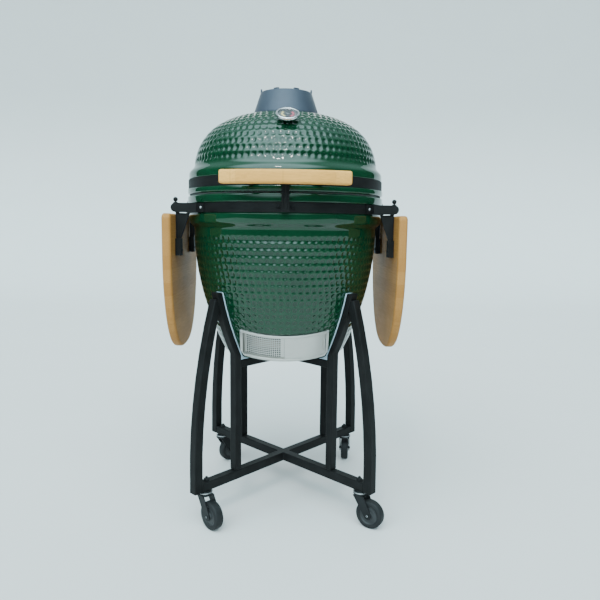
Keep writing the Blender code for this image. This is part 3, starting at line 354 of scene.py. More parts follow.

# %% [markdown]
# ## Shape helpers
# Most pieces are turned, so `lathe` spins a list of (radius, height) points. Flat pieces are drawn
# as an outline and given a depth. `keep` hangs a finished piece on its body and hides the CAD nodes
# that it stands for.

# %% Turning, extruding and keeping
def from_bmesh(name, bm, sharp=40.0):
    mesh = bpy.data.meshes.new(name)
    bm.to_mesh(mesh)
    bm.free()
    mesh.shade_smooth()
    mesh.set_sharp_from_angle(angle=radians(sharp))
    made = bpy.data.objects.new(name, mesh)
    bpy.context.scene.collection.objects.link(made)
    return made


def lathe(name, profile, segments=96, ring=False, turn=None, sharp=40.0):
    """Spin a profile round Z. A ring's profile is a closed loop away from the axis."""
    bm = bmesh.new()
    angles = [tau * i / segments for i in range(segments)]
    rows = []
    for r, z in profile:
        if r < 1e-7:
            rows.append([bm.verts.new((0.0, 0.0, z))] * segments)
        else:
            rows.append([bm.verts.new((r * cos(a), r * sin(a), z)) for a in angles])
    pairs = list(zip(rows, rows[1:])) + ([(rows[-1], rows[0])] if ring else [])
    for low, high in pairs:
        for i in range(segments):
            j = (i + 1) % segments
            corners = list(dict.fromkeys((low[i], low[j], high[j], high[i])))
            if len(corners) > 2:
                bm.faces.new(corners)
    if turn is not None:
        bm.transform(turn)
    bmesh.ops.recalc_face_normals(bm, faces=bm.faces[:])
    return from_bmesh(name, bm, sharp)


def slab(name, outline, low, high, turn=None, sharp=40.0):
    """Give an outline in the XZ plane a depth along Y, from low to high."""
    bm = bmesh.new()
    face = bm.faces.new([bm.verts.new((x, low, z)) for x, z in outline])
    grown = bmesh.ops.extrude_face_region(bm, geom=[face])["geom"]
    moved = [part for part in grown if isinstance(part, bmesh.types.BMVert)]
    bmesh.ops.translate(bm, vec=(0, high - low, 0), verts=moved)
    if turn is not None:
        bm.transform(turn)
    bmesh.ops.recalc_face_normals(bm, faces=bm.faces[:])
    return from_bmesh(name, bm, sharp)


def baked(obj):
    """Replace an object's mesh by what its modifiers make of it."""
    view = bpy.context.evaluated_depsgraph_get()
    mesh = bpy.data.meshes.new_from_object(obj.evaluated_get(view), preserve_all_data_layers=True,
                                           depsgraph=view)
    obj.modifiers.clear()
    obj.data = mesh
    return obj


def rounded(obj, width, segments=3, angle=30.0):
    """Round every edge sharper than an angle, and keep the flats flat."""
    edge = obj.modifiers.new("edges", "BEVEL")
    edge.width = width
    edge.segments = segments
    edge.limit_method = "ANGLE"
    edge.angle_limit = radians(angle)
    even = obj.modifiers.new("even", "WEIGHTED_NORMAL")
    even.keep_sharp = True
    obj.data.shade_smooth()
    return baked(obj)


def carve(obj, *cutters):
    """Cut shapes out of an object and remove them."""
    for cutter in cutters:
        step = obj.modifiers.new("cut", "BOOLEAN")
        step.object = cutter
    baked(obj)
    for cutter in cutters:
        bpy.data.objects.remove(cutter, do_unlink=True)
    return obj


def joined(name, *objects):
    """One object from several, whose meshes need not touch."""
    bm = bmesh.new()
    for obj in objects:
        bm.from_mesh(obj.data)
        bpy.data.objects.remove(obj, do_unlink=True)
    return from_bmesh(name, bm)


def keep(obj, body, slot, material, *nodes):
    """Hang a piece on a body, in a material, in place of the nodes named. The slot is not used."""
    obj.data.materials.clear()
    obj.data.materials.append(material)
    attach(obj, body)
    if nodes:
        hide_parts(*nodes)
    print(f"{obj.name}: {len(obj.data.polygons)} faces on {body}")
    return obj


def stand_for(node, obj, material):
    """Keep a piece in place of one CAD node, on that node's body."""
    return keep(obj, BODY_OF[node], SLOT_OF[node], material, node)


def arc(centre_r, centre_z, radius, start, end, count):
    """Points on a quarter or so of a circle, for a rounded corner in a profile."""
    return [(centre_r + radius * cos(radians(start + (end - start) * i / count)),
             centre_z + radius * sin(radians(start + (end - start) * i / count)))
            for i in range(count + 1)]


def rounded_box(inner, outer, low, high, edge, count=3):
    """The profile of a ring with rounded edges."""
    return (arc(outer - edge, low + edge, edge, -90, 0, count)
            + arc(outer - edge, high - edge, edge, 0, 90, count)
            + arc(inner + edge, high - edge, edge, 90, 180, count)
            + arc(inner + edge, low + edge, edge, 180, 270, count))


# %% [markdown]
# ## Shape trees
# A shape tree is a Geometry Nodes group with named inputs. `grow` sets the inputs by their
# identifiers, lets the tree run once, and keeps only the plain mesh that comes out.

# %% Building and running shape trees
KINDS = {"float": "NodeSocketFloat", "int": "NodeSocketInt", "object": "NodeSocketObject",
         "material": "NodeSocketMaterial"}


def shape_tree(name, **inputs):
    """An empty tree, and a signal for each of its inputs."""
    tree = bpy.data.node_groups.new(name, "GeometryNodeTree")
    tree.interface.new_socket("Geometry", in_out="INPUT", socket_type="NodeSocketGeometry")
    for label, kind in inputs.items():
        tree.interface.new_socket(label, in_out="INPUT", socket_type=KINDS[kind])
    tree.interface.new_socket("Geometry", in_out="OUTPUT", socket_type="NodeSocketGeometry")
    sheet = Sheet(tree)
    entry = tree.nodes.new("NodeGroupInput")
    return sheet, {s.name: Signal(sheet, s) for s in entry.outputs if s.name}


def close_tree(sheet, geometry, material):
    """End a tree with real, painted geometry."""
    real = sheet.node("GeometryNodeRealizeInstances", sockets={"Geometry": geometry})
    done = sheet.node("GeometryNodeSetMaterial", sockets={"Geometry": real, "Material": material})
    end = sheet.tree.nodes.new("NodeGroupOutput")
    sheet.tree.links.new(done.socket, end.inputs[0])
    return sheet.tree


def grow(host, tree, **values):
    """Run a tree on its host once, with these inputs."""
    step = host.modifiers.new("grow", "NODES")
    step.node_group = tree
    names = {item.name: item.identifier for item in tree.interface.items_tree if item.in_out == "INPUT"}
    for label, value in values.items():
        step[names[label]] = value
    return baked(host)


def points_host(name, points, **vectors):
    """A mesh of loose points that carry named vectors for a tree to read."""
    mesh = bpy.data.meshes.new(name)
    mesh.from_pydata([tuple(p) for p in points], [], [])
    for label, values in vectors.items():
        layer = mesh.attributes.new(label, "FLOAT_VECTOR", "POINT")
        layer.data.foreach_set("vector", np.array(values, float).ravel())
    host = bpy.data.objects.new(name, mesh)
    bpy.context.scene.collection.objects.link(host)
    return host


# %% [markdown]
# ## The dimpled shells
# Bowl and dome are slip-cast clay with rows of shallow round hollows, each row offset from the next.
# Painting them as bump would leave a smooth outline, and in this glaze every hollow mirrors the sky,
# so they are real geometry. The shell is first turned as a fine smooth net. Each point knows how far
# it is from its row and from its column, and one shape tree presses all hollows inwards.

# %% The tree that presses hollows
def dimple_tree():
    sheet, given = shape_tree("press_hollows", Depth="float", Width="float", Glaze="material")

    def read(name):
        return sheet.node("GeometryNodeInputNamedAttribute", {"data_type": "FLOAT"}, {"Name": name})

    across, along = read("from_column"), read("from_row")
    reach = across * across + along * along
    half = given["Width"] * 0.5
    cup = (1 - reach / (half * half))
    cup = cup.math("MAXIMUM", cup, 0.0) ** 1.15 * read("dimpled")
    normal = sheet.node("GeometryNodeInputNormal")
    push = sheet.node("ShaderNodeVectorMath", {"operation": "SCALE"},
                      {0: normal, "Scale": cup * given["Depth"] * -1.0})
    pressed = sheet.node("GeometryNodeSetPosition", sockets={"Geometry": given["Geometry"], "Offset": push})
    stored = sheet.node("GeometryNodeStoreNamedAttribute", {"data_type": "FLOAT", "domain": "POINT"},
                        {"Geometry": pressed, "Name": "hollow", "Value": cup})
    return close_tree(sheet, stored, given["Glaze"])


DIMPLES = dimple_tree()
PITCH_ROUND, PITCH_UP = 0.0176, 0.0182
NET_ROUND, NET_UP = 0.0035, 0.0023  # size of the net's cells
HOLLOW_DEPTH, HOLLOW_WIDTH = 0.0030, 0.98


def resample(profile, step):
    """Points a step apart along a profile that keep its corners."""
    points = [profile[0]]
    for (r0, z0), (r1, z1) in zip(profile, profile[1:]):
        count = max(1, round(sqrt((r1 - r0) ** 2 + (z1 - z0) ** 2) / step))
        points += [(r0 + (r1 - r0) * i / count, z0 + (z1 - z0) * i / count) for i in range(1, count + 1)]
    return points


def dimpled(name, smooth_before, curve, smooth_after, first_row, material, faint=1.0):
    """Turn a closed profile whose middle stretch has rows of hollows, counted from its start.
    The first rows are as faint as told, and the last ones are full."""
    curve = resample(curve, NET_UP)
    profile = smooth_before + curve + smooth_after
    segments = round(tau * max(r for r, _ in curve) / NET_ROUND)
    shell = lathe(name, profile, segments, ring=profile[0][0] > 0)
    run = np.concatenate([[0.0], np.cumsum([sqrt((a[0] - b[0]) ** 2 + (a[1] - b[1]) ** 2)
                                            for a, b in zip(curve, curve[1:])])])
    rows = (run - first_row) / PITCH_UP
    last = int(rows[-1] - 0.5)
    spots = {(round(r, 6), round(z, 6)): i for i, (r, z) in enumerate(curve)}
    radii = np.array([r for r, _ in curve])
    values = {"from_column": [], "from_row": [], "dimpled": []}
    for vertex in shell.data.vertices:
        x, y, z = vertex.co
        i = spots.get((round(sqrt(x * x + y * y), 6), round(z, 6)))
        row = round(float(rows[i])) if i is not None else -1
        inside = i is not None and 0 <= row <= last
        radius = float(np.interp(row, rows, radii)) if inside else 1.0
        count = max(6, round(tau * radius / PITCH_ROUND))
        place = (atan2(y, x) / tau) * count + 0.5 * (row % 2)
        values["from_column"].append(place - round(place))
        values["from_row"].append(float(rows[i]) - row if inside else 0.0)
        values["dimpled"].append(min(1.0, faint + (1 - faint) * 1.5 * row / last) if inside else 0.0)
    for label, numbers in values.items():
        shell.data.attributes.new(label, "FLOAT", "POINT").data.foreach_set("value", numbers)
    shell.data.materials.append(material)
    print(name, "has", last + 1, "rows of hollows on a net of", len(shell.data.vertices), "points")
    return grow(shell, DIMPLES, Depth=HOLLOW_DEPTH, Width=HOLLOW_WIDTH, Glaze=material)


# %% [markdown]
# ### The bowl
# The outside is a parabola from the flat foot to the waist, then a soft step out to the shoulder,
# the groove that the steel band sits in, and the lip. Rows of hollows cover the parabola only. The
# seat and the port of the draft door are cut from a bent plate each, as a potter would cut them.

# %% Turn and cut the bowl
bowl_low, bowl_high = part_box("base_bowl")
LIP, RIM_Z, FOOT_Z = bowl_high.x, bowl_high.z, bowl_low.z
BAND_LOW, BAND_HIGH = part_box("base_band")[0].z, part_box("base_band")[1].z
SHOULDER, GROOVE, INSIDE = LIP - 0.0035, LIP - 0.0050, LIP - 0.0290
BODY, FOOT = LIP - 0.0165, LIP - 0.1045
WALL, FLOOR_THICK = 0.024, 0.030
WAIST_Z = RIM_Z - 0.0865


def bowl_radius(z):
    t = min(1.0, max(0.0, (z - FOOT_Z) / (WAIST_Z - FOOT_Z)))
    return BODY - (BODY - FOOT) * (1 - t) ** 2


def step_out(r0, z0, r1, z1, count=8):
    """A soft S from one radius to another."""
    return [(r0 + (r1 - r0) * (1 - cos(pi * i / count)) / 2, z0 + (z1 - z0) * i / count)
            for i in range(1, count + 1)]


def bowl_profile():
    foot = [(0.0, FOOT_Z), (FOOT - 0.010, FOOT_Z)] + arc(FOOT - 0.010, FOOT_Z + 0.010, 0.010, -80, -25, 4)
    heights = [FOOT_Z + 0.009 + (WAIST_Z - FOOT_Z - 0.009) * i / 60 for i in range(61)]
    curve = [(bowl_radius(z), z) for z in heights]
    top = step_out(BODY, WAIST_Z, SHOULDER, WAIST_Z + 0.019)
    top += [(SHOULDER, BAND_LOW - 0.004)] + arc(SHOULDER - 0.0015, BAND_LOW - 0.0035, 0.0015, 0, 90, 3)
    top += [(GROOVE, BAND_LOW - 0.0015), (GROOVE, BAND_HIGH + 0.0003), (LIP - 0.002, BAND_HIGH + 0.0003)]
    top += arc(LIP - 0.002, BAND_HIGH + 0.0023, 0.002, -60, 0, 3)
    top += arc(LIP - 0.0045, RIM_Z - 0.0045, 0.0045, 0, 90, 5)
    top += arc(INSIDE + 0.002, RIM_Z - 0.002, 0.002, 90, 180, 3)
    floor = FOOT_Z + FLOOR_THICK
    inner = [(INSIDE, WAIST_Z)] + [(bowl_radius(z) - WALL, z) for z in reversed(heights[8:56:3])]
    inner += arc(inner[-1][0] - 0.014, floor + 0.014, 0.014, 0, -90, 4)[1:] + [(0.0, floor)]
    return foot, curve, top + inner


door_joint = JOINT["draft_screen_slide"]
DOOR_LEAN = atan2(-door_joint["axis"][1], door_joint["axis"][2])
DOOR = Matrix.Translation(door_joint["pos_m"]) @ Matrix.Rotation(DOOR_LEAN, 4, "X")
DOOR_R, DOOR_HALF, DOOR_HALF_HEIGHT = 0.203, radians(34.0), 0.038
PORT_START, PORT_END, PORT_HALF_HEIGHT = radians(-29), radians(-3), 0.022


def bent(name, start, end, inner, outer, low, high, matrix=DOOR, count=24):
    """A sector of a ring about the door's axis. Angles run from the front."""
    angles = [start + (end - start) * i / count for i in range(count + 1)]
    bm = bmesh.new()
    rows = [[bm.verts.new((r * sin(a), -r * cos(a), z)) for a in angles]
            for r, z in ((inner, low), (outer, low), (outer, high), (inner, high))]
    for row, after in zip(rows, rows[1:] + rows[:1]):
        for i in range(count):
            bm.faces.new((row[i], row[i + 1], after[i + 1], after[i]))
    for i in (0, count):
        bm.faces.new([row[i] for row in rows])
    bm.transform(matrix)
    bmesh.ops.recalc_face_normals(bm, faces=bm.faces[:])
    return from_bmesh(name, bm)


bowl = dimpled("glazed_bowl", *bowl_profile(), first_row=0.016, material=GLAZE, faint=0.30)
door_seat = bent("seat_cutter", -DOOR_HALF - 0.01, DOOR_HALF + 0.01, DOOR_R - 0.0003, DOOR_R + 0.03,
                 -DOOR_HALF_HEIGHT - 0.001, DOOR_HALF_HEIGHT + 0.001)
door_port = bent("port_cutter", PORT_START, PORT_END, DOOR_R - 0.055, DOOR_R + 0.02,
                 -PORT_HALF_HEIGHT, PORT_HALF_HEIGHT)
stand_for("base_bowl", carve(bowl, door_seat, door_port), GLAZE)

# %% [markdown]
# ### The dome
# Its side is a superellipse: fuller than a circle at the shoulder and flatter on top, where the
# chimney sits. The lip and shoulder below the first row stay smooth.

# %% Turn the dome
lid_low, lid_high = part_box("dome_lid")
LID_Z, SEAT_Z = lid_low.z, lid_high.z
LID_BAND_LOW, LID_BAND_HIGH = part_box("lid_band")[0].z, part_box("lid_band")[1].z
DOME_R, DOME_Z, DOME_RISE = LIP - 0.0183, LID_Z + 0.0585, 0.165
SEAT_R, FLUE = 0.088, 0.055
FULL_ACROSS, FULL_UP = 2.886, 2.208  # 2 is an ellipse, and more is fuller
PLAIN_TOP = 0.0800  # height over the lid's underside where the curve starts


def dome_point(t, inset=0.0):
    return ((DOME_R - inset) * cos(t) ** (2 / FULL_ACROSS),
            DOME_Z + (DOME_RISE - inset) * sin(t) ** (2 / FULL_UP))


def bezier(t, arms):
    """A point of the cubic curve between the first and last of four arms."""
    shares = ((1 - t) ** 3, 3 * t * (1 - t) ** 2, 3 * t * t * (1 - t), t ** 3)
    return sum((share * arm for share, arm in zip(shares, arms)), Vector((0, 0)))


def dome_profile():
    lip = arc(INSIDE + 0.002, LID_Z + 0.002, 0.002, 180, 270, 3)
    lip += arc(LIP - 0.004, LID_Z + 0.004, 0.004, -90, 0, 5)
    lip += [(LIP, LID_BAND_LOW - 0.002), (LIP - 0.001, LID_BAND_LOW - 0.0005),
            (GROOVE, LID_BAND_LOW - 0.0003), (GROOVE, LID_BAND_HIGH + 0.0003)]
    lip += arc(SHOULDER - 0.002, LID_BAND_HIGH + 0.0025, 0.002, -60, 0, 3)
    lip += [(SHOULDER, LID_BAND_HIGH + 0.013)]
    start = asin(((LID_Z + PLAIN_TOP - DOME_Z) / DOME_RISE) ** (FULL_UP / 2))
    stop = acos((SEAT_R / DOME_R) ** (FULL_ACROSS / 2))
    curve = [dome_point(start + (stop - start) * i / 70) for i in range(71)]
    last, first = Vector((SHOULDER, LID_BAND_HIGH + 0.013)), Vector(curve[0])
    reach = (first - last).length * 0.40
    slope = (Vector(curve[1]) - Vector(curve[0])).normalized()
    arms = (last, last + Vector((0, reach)), first - slope * reach, first)
    lip += [tuple(bezier(i / 8, arms)) for i in range(1, 8)]
    inner_start, inner_top = 0.22, acos(((FLUE + 0.004) / (DOME_R - WALL)) ** (FULL_ACROSS / 2))
    inner = [dome_point(inner_start + (inner_top - inner_start) * i / 24, WALL) for i in range(25)]
    return lip, curve, [(FLUE + 0.004, SEAT_Z), (FLUE, SEAT_Z - 0.004)] + inner[::-1]


dome = dimpled("glazed_dome", *dome_profile(), first_row=0.010, material=GLAZE)
stand_for("dome_lid", dome, GLAZE)

# %% [markdown]
# ### Bands and gasket
# A rolled steel band clamps each shell, and a felt rope seals the joint between them.

# %% Bands and gasket
RINGS = (("base_band", BLACK, 0.0025, 0.0009), ("lid_band", BLACK, 0.0025, 0.0009),
         ("rim_gasket", FELT, 0.019, 0.0014))
for node, material, thick, edge in RINGS:
    low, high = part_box(node)
    section = rounded_box(high.x - thick, high.x, low.z, high.z, edge)
    stand_for(node, lathe(node + "_rolled", section, 240, ring=True), material)

# %% [markdown]
# ## Inside: firebox, ring and grates
# A clay pot holds the coals, with air holes in its wall and a mouth at the draft port. A clay ring
# stands on it and carries the cooking grate, which is bent and welded from round bar. The bars are
# edges that a shape tree gives a round section, so their lengths follow from the circle.

# %% Firebox and fire ring
fire_low, fire_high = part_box("firebox")
POT_FOOT, POT_TOP, POT_WALL, POT_FLOOR = 0.145, fire_high.x, 0.019, 0.016
AIR_HOLES, AIR_HOLE_RADIUS, RING_WALL = 8, 0.009, 0.023
ledge_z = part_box("charcoal_grate")[0].z - 0.0003


def pot_radius(z):
    return POT_FOOT + (POT_TOP - POT_FOOT) * (z - fire_low.z) / (fire_high.z - fire_low.z)


pot_profile = [(0.0, fire_low.z)] + arc(POT_FOOT - 0.003, fire_low.z + 0.003, 0.003, -90, 0, 3)
pot_profile += arc(POT_TOP - 0.004, fire_high.z - 0.004, 0.004, 10, 90, 3)
pot_profile += arc(POT_TOP - POT_WALL + 0.004, fire_high.z - 0.004, 0.004, 90, 170, 3)
pot_profile += [(pot_radius(ledge_z) - POT_WALL, ledge_z), (0.118, ledge_z),
                (0.112, fire_low.z + POT_FLOOR), (0.0, fire_low.z + POT_FLOOR)]
pot = lathe("firebox_pot", pot_profile, 96)
mouth_low, mouth_high = fire_low.z + 0.018, fire_low.z + 0.050
cutters = [bent("mouth_cutter", PORT_START, 0.0, 0.09, 0.26, mouth_low, mouth_high, Matrix())]
hole_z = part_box("charcoal_grate")[0].z + 0.045
hole_profile = [(0.0, 0.0), (AIR_HOLE_RADIUS, 0.0), (AIR_HOLE_RADIUS, 0.11), (0.0, 0.11)]
for i in range(AIR_HOLES):
    way = Matrix.Rotation(tau * (i + 0.5) / AIR_HOLES, 4, "Z") @ Matrix.Translation((0.13, 0, hole_z))
    cutters.append(lathe(f"hole_cutter_{i}", hole_profile, 20, turn=way @ Matrix.Rotation(pi / 2, 4, "Y")))
stand_for("firebox", carve(pot, *cutters), CLAY)
ring_low, ring_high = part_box("fire_ring")
section = rounded_box(ring_high.x - RING_WALL, ring_high.x, ring_low.z, ring_high.z, 0.004)
stand_for("fire_ring", lathe("fire_ring_turned", section, 120, ring=True), CLAY)

# %% Grates from round bar
def swept(sheet, curve, radius, sides):
    """Give a curve a round section."""
    section = sheet.node("GeometryNodeCurvePrimitiveCircle", sockets={"Resolution": sides, "Radius": radius})
    return sheet.node("GeometryNodeCurveToMesh", sockets={
        "Curve": curve, "Profile Curve": section, "Fill Caps": True})


def bar_tree():
    """Give every edge of the host a round section."""
    sheet, given = shape_tree("round_bars", Radius="float", Sides="int", Steel="material")
    lines = sheet.node("GeometryNodeMeshToCurve", sockets={"Mesh": given["Geometry"]})
    return close_tree(sheet, swept(sheet, lines, given["Radius"], given["Sides"]), given["Steel"])


ROUND_BARS = bar_tree()


def wire(name, chains):
    """A host of edges: each chain is (points, closed)."""
    verts, edges = [], []
    for points, closed in chains:
        base = len(verts)
        verts += [tuple(p) for p in points]
        edges += [(base + i, base + i + 1) for i in range(len(points) - 1)]
        if closed:
            edges.append((base + len(points) - 1, base))
    mesh = bpy.data.meshes.new(name)
    mesh.from_pydata(verts, edges, [])
    host = bpy.data.objects.new(name, mesh)
    bpy.context.scene.collection.objects.link(host)
    return host


def circle(radius, z, count=96):
    return [(radius * cos(tau * i / count), radius * sin(tau * i / count), z) for i in range(count)]


def chord(y, z):
    """A bar across the grate, from rim to rim."""
    reach = sqrt(rim_r ** 2 - y * y)
    return [(-reach, y, z), (reach, y, z)], False


grate_low, grate_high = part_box("cooking_grate")
bar_r, rim_r = 0.0026, grate_high.x - 0.0030
bar_z = grate_high.z - bar_r
pitch = 2 * (grate_high.x - 0.009) / 28
bars = [([(x, -reach, bar_z), (x, reach, bar_z)], False) for x in (pitch * (i - 13) for i in range(27))
        for reach in [sqrt(rim_r ** 2 - x * x)]]
thin = grow(wire("grate_bars", bars), ROUND_BARS, Radius=bar_r, Sides=10, Steel=GRILL_STEEL)
frame_bars = [(circle(rim_r, (grate_low.z + grate_high.z) / 2), True)]
frame_bars += [chord(y, grate_low.z + 0.002) for y in (-0.085, 0.085)]
thick = grow(wire("grate_frame", frame_bars), ROUND_BARS, Radius=0.0020, Sides=10, Steel=GRILL_STEEL)
rim = lathe("grate_rim", [(rim_r + 0.0030 * cos(a), grate_low.z + 0.003 + 0.0030 * sin(a))
                          for a in (tau * i / 12 for i in range(12))], 120, ring=True)
stand_for("cooking_grate", joined("grate_round_bar", thin, thick, rim), GRILL_STEEL)

# %% [markdown]
# ## Plain CAD pieces with eased edges
# Tubes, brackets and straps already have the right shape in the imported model. What they lack is the
# small radius that every real bent or welded edge has, and that catches a line of light. A merged
# copy gets its flat faces back, and then each corner is rounded.

# %% Ease the edges of a CAD piece
def eased(node, material, width=0.0012, segments=2):
    """A CAD piece with each edge rounded to a width."""
    bm = bmesh.new()
    bm.from_mesh(frame["nodes"][node].data)
    bmesh.ops.remove_doubles(bm, verts=bm.verts[:], dist=1e-5)
    bmesh.ops.dissolve_limit(bm, angle_limit=radians(1.0), verts=bm.verts[:], edges=bm.edges[:])
    piece = from_bmesh(node + "_eased", bm)
    return stand_for(node, rounded(piece, width, segments), material)


for corner in CORNERS:
    eased(f"leg_{corner}", BLACK, 0.0026, 3)
    eased(f"post_{corner}", BLACK, 0.0022, 3)
    eased(f"cradle_pad_{corner}", TAPE, 0.0008)
    eased(f"shelf_bracket_{corner}", BLACK, 0.0008)
    eased(f"shelf_arm_{corner}", BLACK, 0.0009)
    eased(f"caster_fork_{corner}", CASTER_BLACK, 0.0006)
for node in ("lower_cross", "upper_cross"):
    eased(node, BLACK, 0.0026, 3)
for node, width in (("handle_bracket", 0.0006), ("latch_strap", 0.0007), ("latch_keeper", 0.0006),
                    ("hinge_base_bracket", 0.0006), ("hinge_lid_bracket", 0.0006)):
    eased(node, BLACK, width)
eased("charcoal_grate", IRON, 0.0012)

# %% [markdown]
# ## Chimney and damper
# One iron casting: a cone with a plate inside, five fan-shaped ports and two upright fins. The
# damper is a disc with the same ports that turns on a pin, and the lugs round its edge are what a
# hand in a glove pushes against.

# %% Chimney and damper
def fan(name, inner, outer, low, high, middle, width):
    return bent(name, middle - width / 2, middle + width / 2, inner, outer, low, high, Matrix(), 10)


chimney_low, chimney_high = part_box("chimney_body")
CAP_FOOT = chimney_low.z + 0.020
CAP_TOP = chimney_high.z - 0.011
PLATE_Z = CAP_TOP - 0.009
PORTS, PORT_ANGLE, PORT_INNER, PORT_OUTER = 5, radians(32), 0.016, 0.041


def port_cutters(name, low, high):
    """Cutters for the ports that the plate and the disc share."""
    return [fan(f"{name}_{i}", PORT_INNER, PORT_OUTER, low, high, tau * i / PORTS, PORT_ANGLE)
            for i in range(PORTS)]


cap_profile = [(0.053, CAP_FOOT), (0.053, chimney_low.z), (0.049, chimney_low.z), (0.049, CAP_FOOT + 0.006),
               (0.0775, CAP_FOOT + 0.010), (0.0648, PLATE_Z), (0.0, PLATE_Z), (0.0, PLATE_Z + 0.005),
               (0.0668, PLATE_Z + 0.005), (0.0668, CAP_TOP - 0.001), (0.0678, CAP_TOP)]
cap_profile += [(0.0708, CAP_TOP), (0.0718, CAP_TOP - 0.001), (0.0900, CAP_FOOT + 0.006),
                (0.0912, CAP_FOOT + 0.0035), (0.0912, CAP_FOOT)]
chimney = lathe("chimney_casting", cap_profile, 128)
carve(chimney, *port_cutters("port", PLATE_Z - 0.01, PLATE_Z + 0.012))
fins = [rounded(fan(f"fin_{side}", 0.0672, 0.0714, PLATE_Z + 0.004, chimney_high.z, side * pi / 2,
                    0.016 / 0.0718), 0.0010) for side in (-1, 1)]
pin = lathe("damper_pin", [(0.0, PLATE_Z), (0.004, PLATE_Z), (0.004, PLATE_Z + 0.012),
                           (0.003, PLATE_Z + 0.013), (0.0, PLATE_Z + 0.013)], 24)
stand_for("chimney_body", joined("chimney_cap", chimney, *fins, pin), IRON)

damper_low, damper_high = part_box("chimney_damper")
DISC_TOP = damper_low.z + 0.005
disc = lathe("damper_disc", [(0.0045, damper_low.z), (0.049, damper_low.z), (0.050, damper_low.z + 0.001),
                             (0.050, DISC_TOP - 0.001), (0.046, DISC_TOP + 0.003), (0.012, DISC_TOP + 0.005),
                             (0.0045, DISC_TOP + 0.005)], 96, ring=True)
carve(disc, *port_cutters("opening", damper_low.z - 0.01, DISC_TOP + 0.02))
lugs = [rounded(fan(f"lug_{i}", 0.0425, 0.049, DISC_TOP - 0.002, damper_high.z, tau * (i + 0.5) / PORTS,
                    radians(20)), 0.0012) for i in range(PORTS)]
stand_for("chimney_damper", joined("damper_wheel", disc, *lugs), IRON)

# %% [markdown]
# ## Thermometer
# A polished case on a short neck, its face square to the cook's eye. The dial is black with a pale
# arc for the low range and a red one for the high, short ticks, a needle and a clear lens.

# %% Thermometer
lens_low, lens_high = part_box("thermometer_lens")
lens_size, lens_middle = lens_high - lens_low, (lens_low + lens_high) / 2
TILT, ROUND = atan2(lens_size.z, lens_size.y), atan2(lens_middle.x, -lens_middle.y)
FACE = Matrix.Translation(lens_middle) @ Matrix.Rotation(ROUND, 4, "Z") @ Matrix.Rotation(TILT, 4, "X")
BEZEL, DIAL, PAINT = 0.029, 0.0238, 0.0002
case_profile = [(0.0, -0.0873), (0.0030, -0.0873), (0.0035, -0.0865), (0.0035, -0.0170),
                (0.011, -0.0135), (0.011, -0.0066)]
case_profile += arc(BEZEL - 0.003, -0.0036, 0.003, -90, 0, 4)
case_profile += arc(BEZEL - 0.0025, -0.0005, 0.0025, 0, 90, 4)
case_profile += arc(DIAL + 0.0015, 0.0005, 0.0015, 90, 180, 3) + [(DIAL, -0.0030), (0.0, -0.0030)]
stand_for("thermometer_case", lathe("thermometer_bezel", case_profile, 72, turn=FACE), BRIGHT)


def dial_part(name, material, *objects):
    return keep(joined(name, *objects), BODY_OF["thermometer_case"], SLOT_OF["thermometer_case"], material)


def dial_arc(name, start, end, inner, outer, z):
    return bent(name, radians(start), radians(end), inner, outer, z, z + PAINT, FACE, 20)


dial_profile = [(0.0, -0.0029), (0.0232, -0.0029), (0.0232, -0.0025), (0.0, -0.0025)]
dial_part("dial_plate", DIAL_BLACK, lathe("dial", dial_profile, 48, turn=FACE))
dial_part("dial_low_range", DIAL_CREAM, dial_arc("low", -135, -25, 0.0110, 0.0165, -0.0025))
dial_part("dial_high_range", DIAL_RED, dial_arc("high", 25, 135, 0.0110, 0.0165, -0.0025))
tick_angles = [radians(-140 + 14 * i) for i in range(21)]
ticks = [bent(f"tick_{i}", angle - 0.02, angle + 0.02, 0.0182, 0.0215, -0.0025, -0.0023, FACE, 2)
         for i, angle in enumerate(tick_angles)]
dial_part("dial_ticks", DIAL_WHITE, *ticks)
needle_turn = (FACE @ Matrix.Translation((0, 0, -0.0018)) @ Matrix.Rotation(radians(-118), 4, "Z")
               @ Matrix.Rotation(-pi / 2, 4, "X"))
needle_outline = [(-0.0010, -0.004), (0.0010, -0.004), (0.0003, 0.0170), (-0.0003, 0.0170)]
needle = slab("needle_bar", needle_outline, -0.0002, 0.0002, turn=needle_turn)
hub_profile = [(0.0, -0.0024), (0.0032, -0.0024), (0.0030, -0.0014), (0.0, -0.0012)]
hub = lathe("needle_hub", hub_profile, 32, turn=FACE)
dial_part("dial_needle", BRIGHT, needle, hub)
lens_profile = [(0.0, -0.0012), (DIAL - 0.0004, -0.0012), (DIAL - 0.0004, 0.0004),
                (DIAL * 0.7, 0.0009), (0.0, 0.0012)]
stand_for("thermometer_lens", lathe("thermometer_glass", lens_profile, 64, turn=FACE), GLASS)

# %% [markdown]
# ## Handle
# A bamboo lamination bent to a wide arc. It is a rounded rectangle swept round the bend, and its
# ends are eased by drawing the last few sections smaller.

# %% Sweep the handle
bar_low, bar_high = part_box("handle_bar")
BEND, DEPTH, EASE = 0.450, 0.028, 0.0060
bend_y = bar_low.y + BEND
half_angle = asin(bar_high.x / BEND)


def handle_section(shrink):
    """Corner-rounded section: offsets from the bend radius, and heights."""
    mid_r, mid_z = BEND - DEPTH / 2, (bar_low.z + bar_high.z) / 2
    half_r, half_z = DEPTH / 2 - shrink, (bar_high.z - bar_low.z) / 2 - shrink
    edge = max(EASE - shrink, 0.0015)
    points = []
    for i, (sr, sz) in enumerate(((1, 1), (-1, 1), (-1, -1), (1, -1))):
        centre = mid_r + sr * (half_r - edge), mid_z + sz * (half_z - edge)
        points += arc(*centre, edge, 90 * i, 90 * i + 90, 5)
    return points


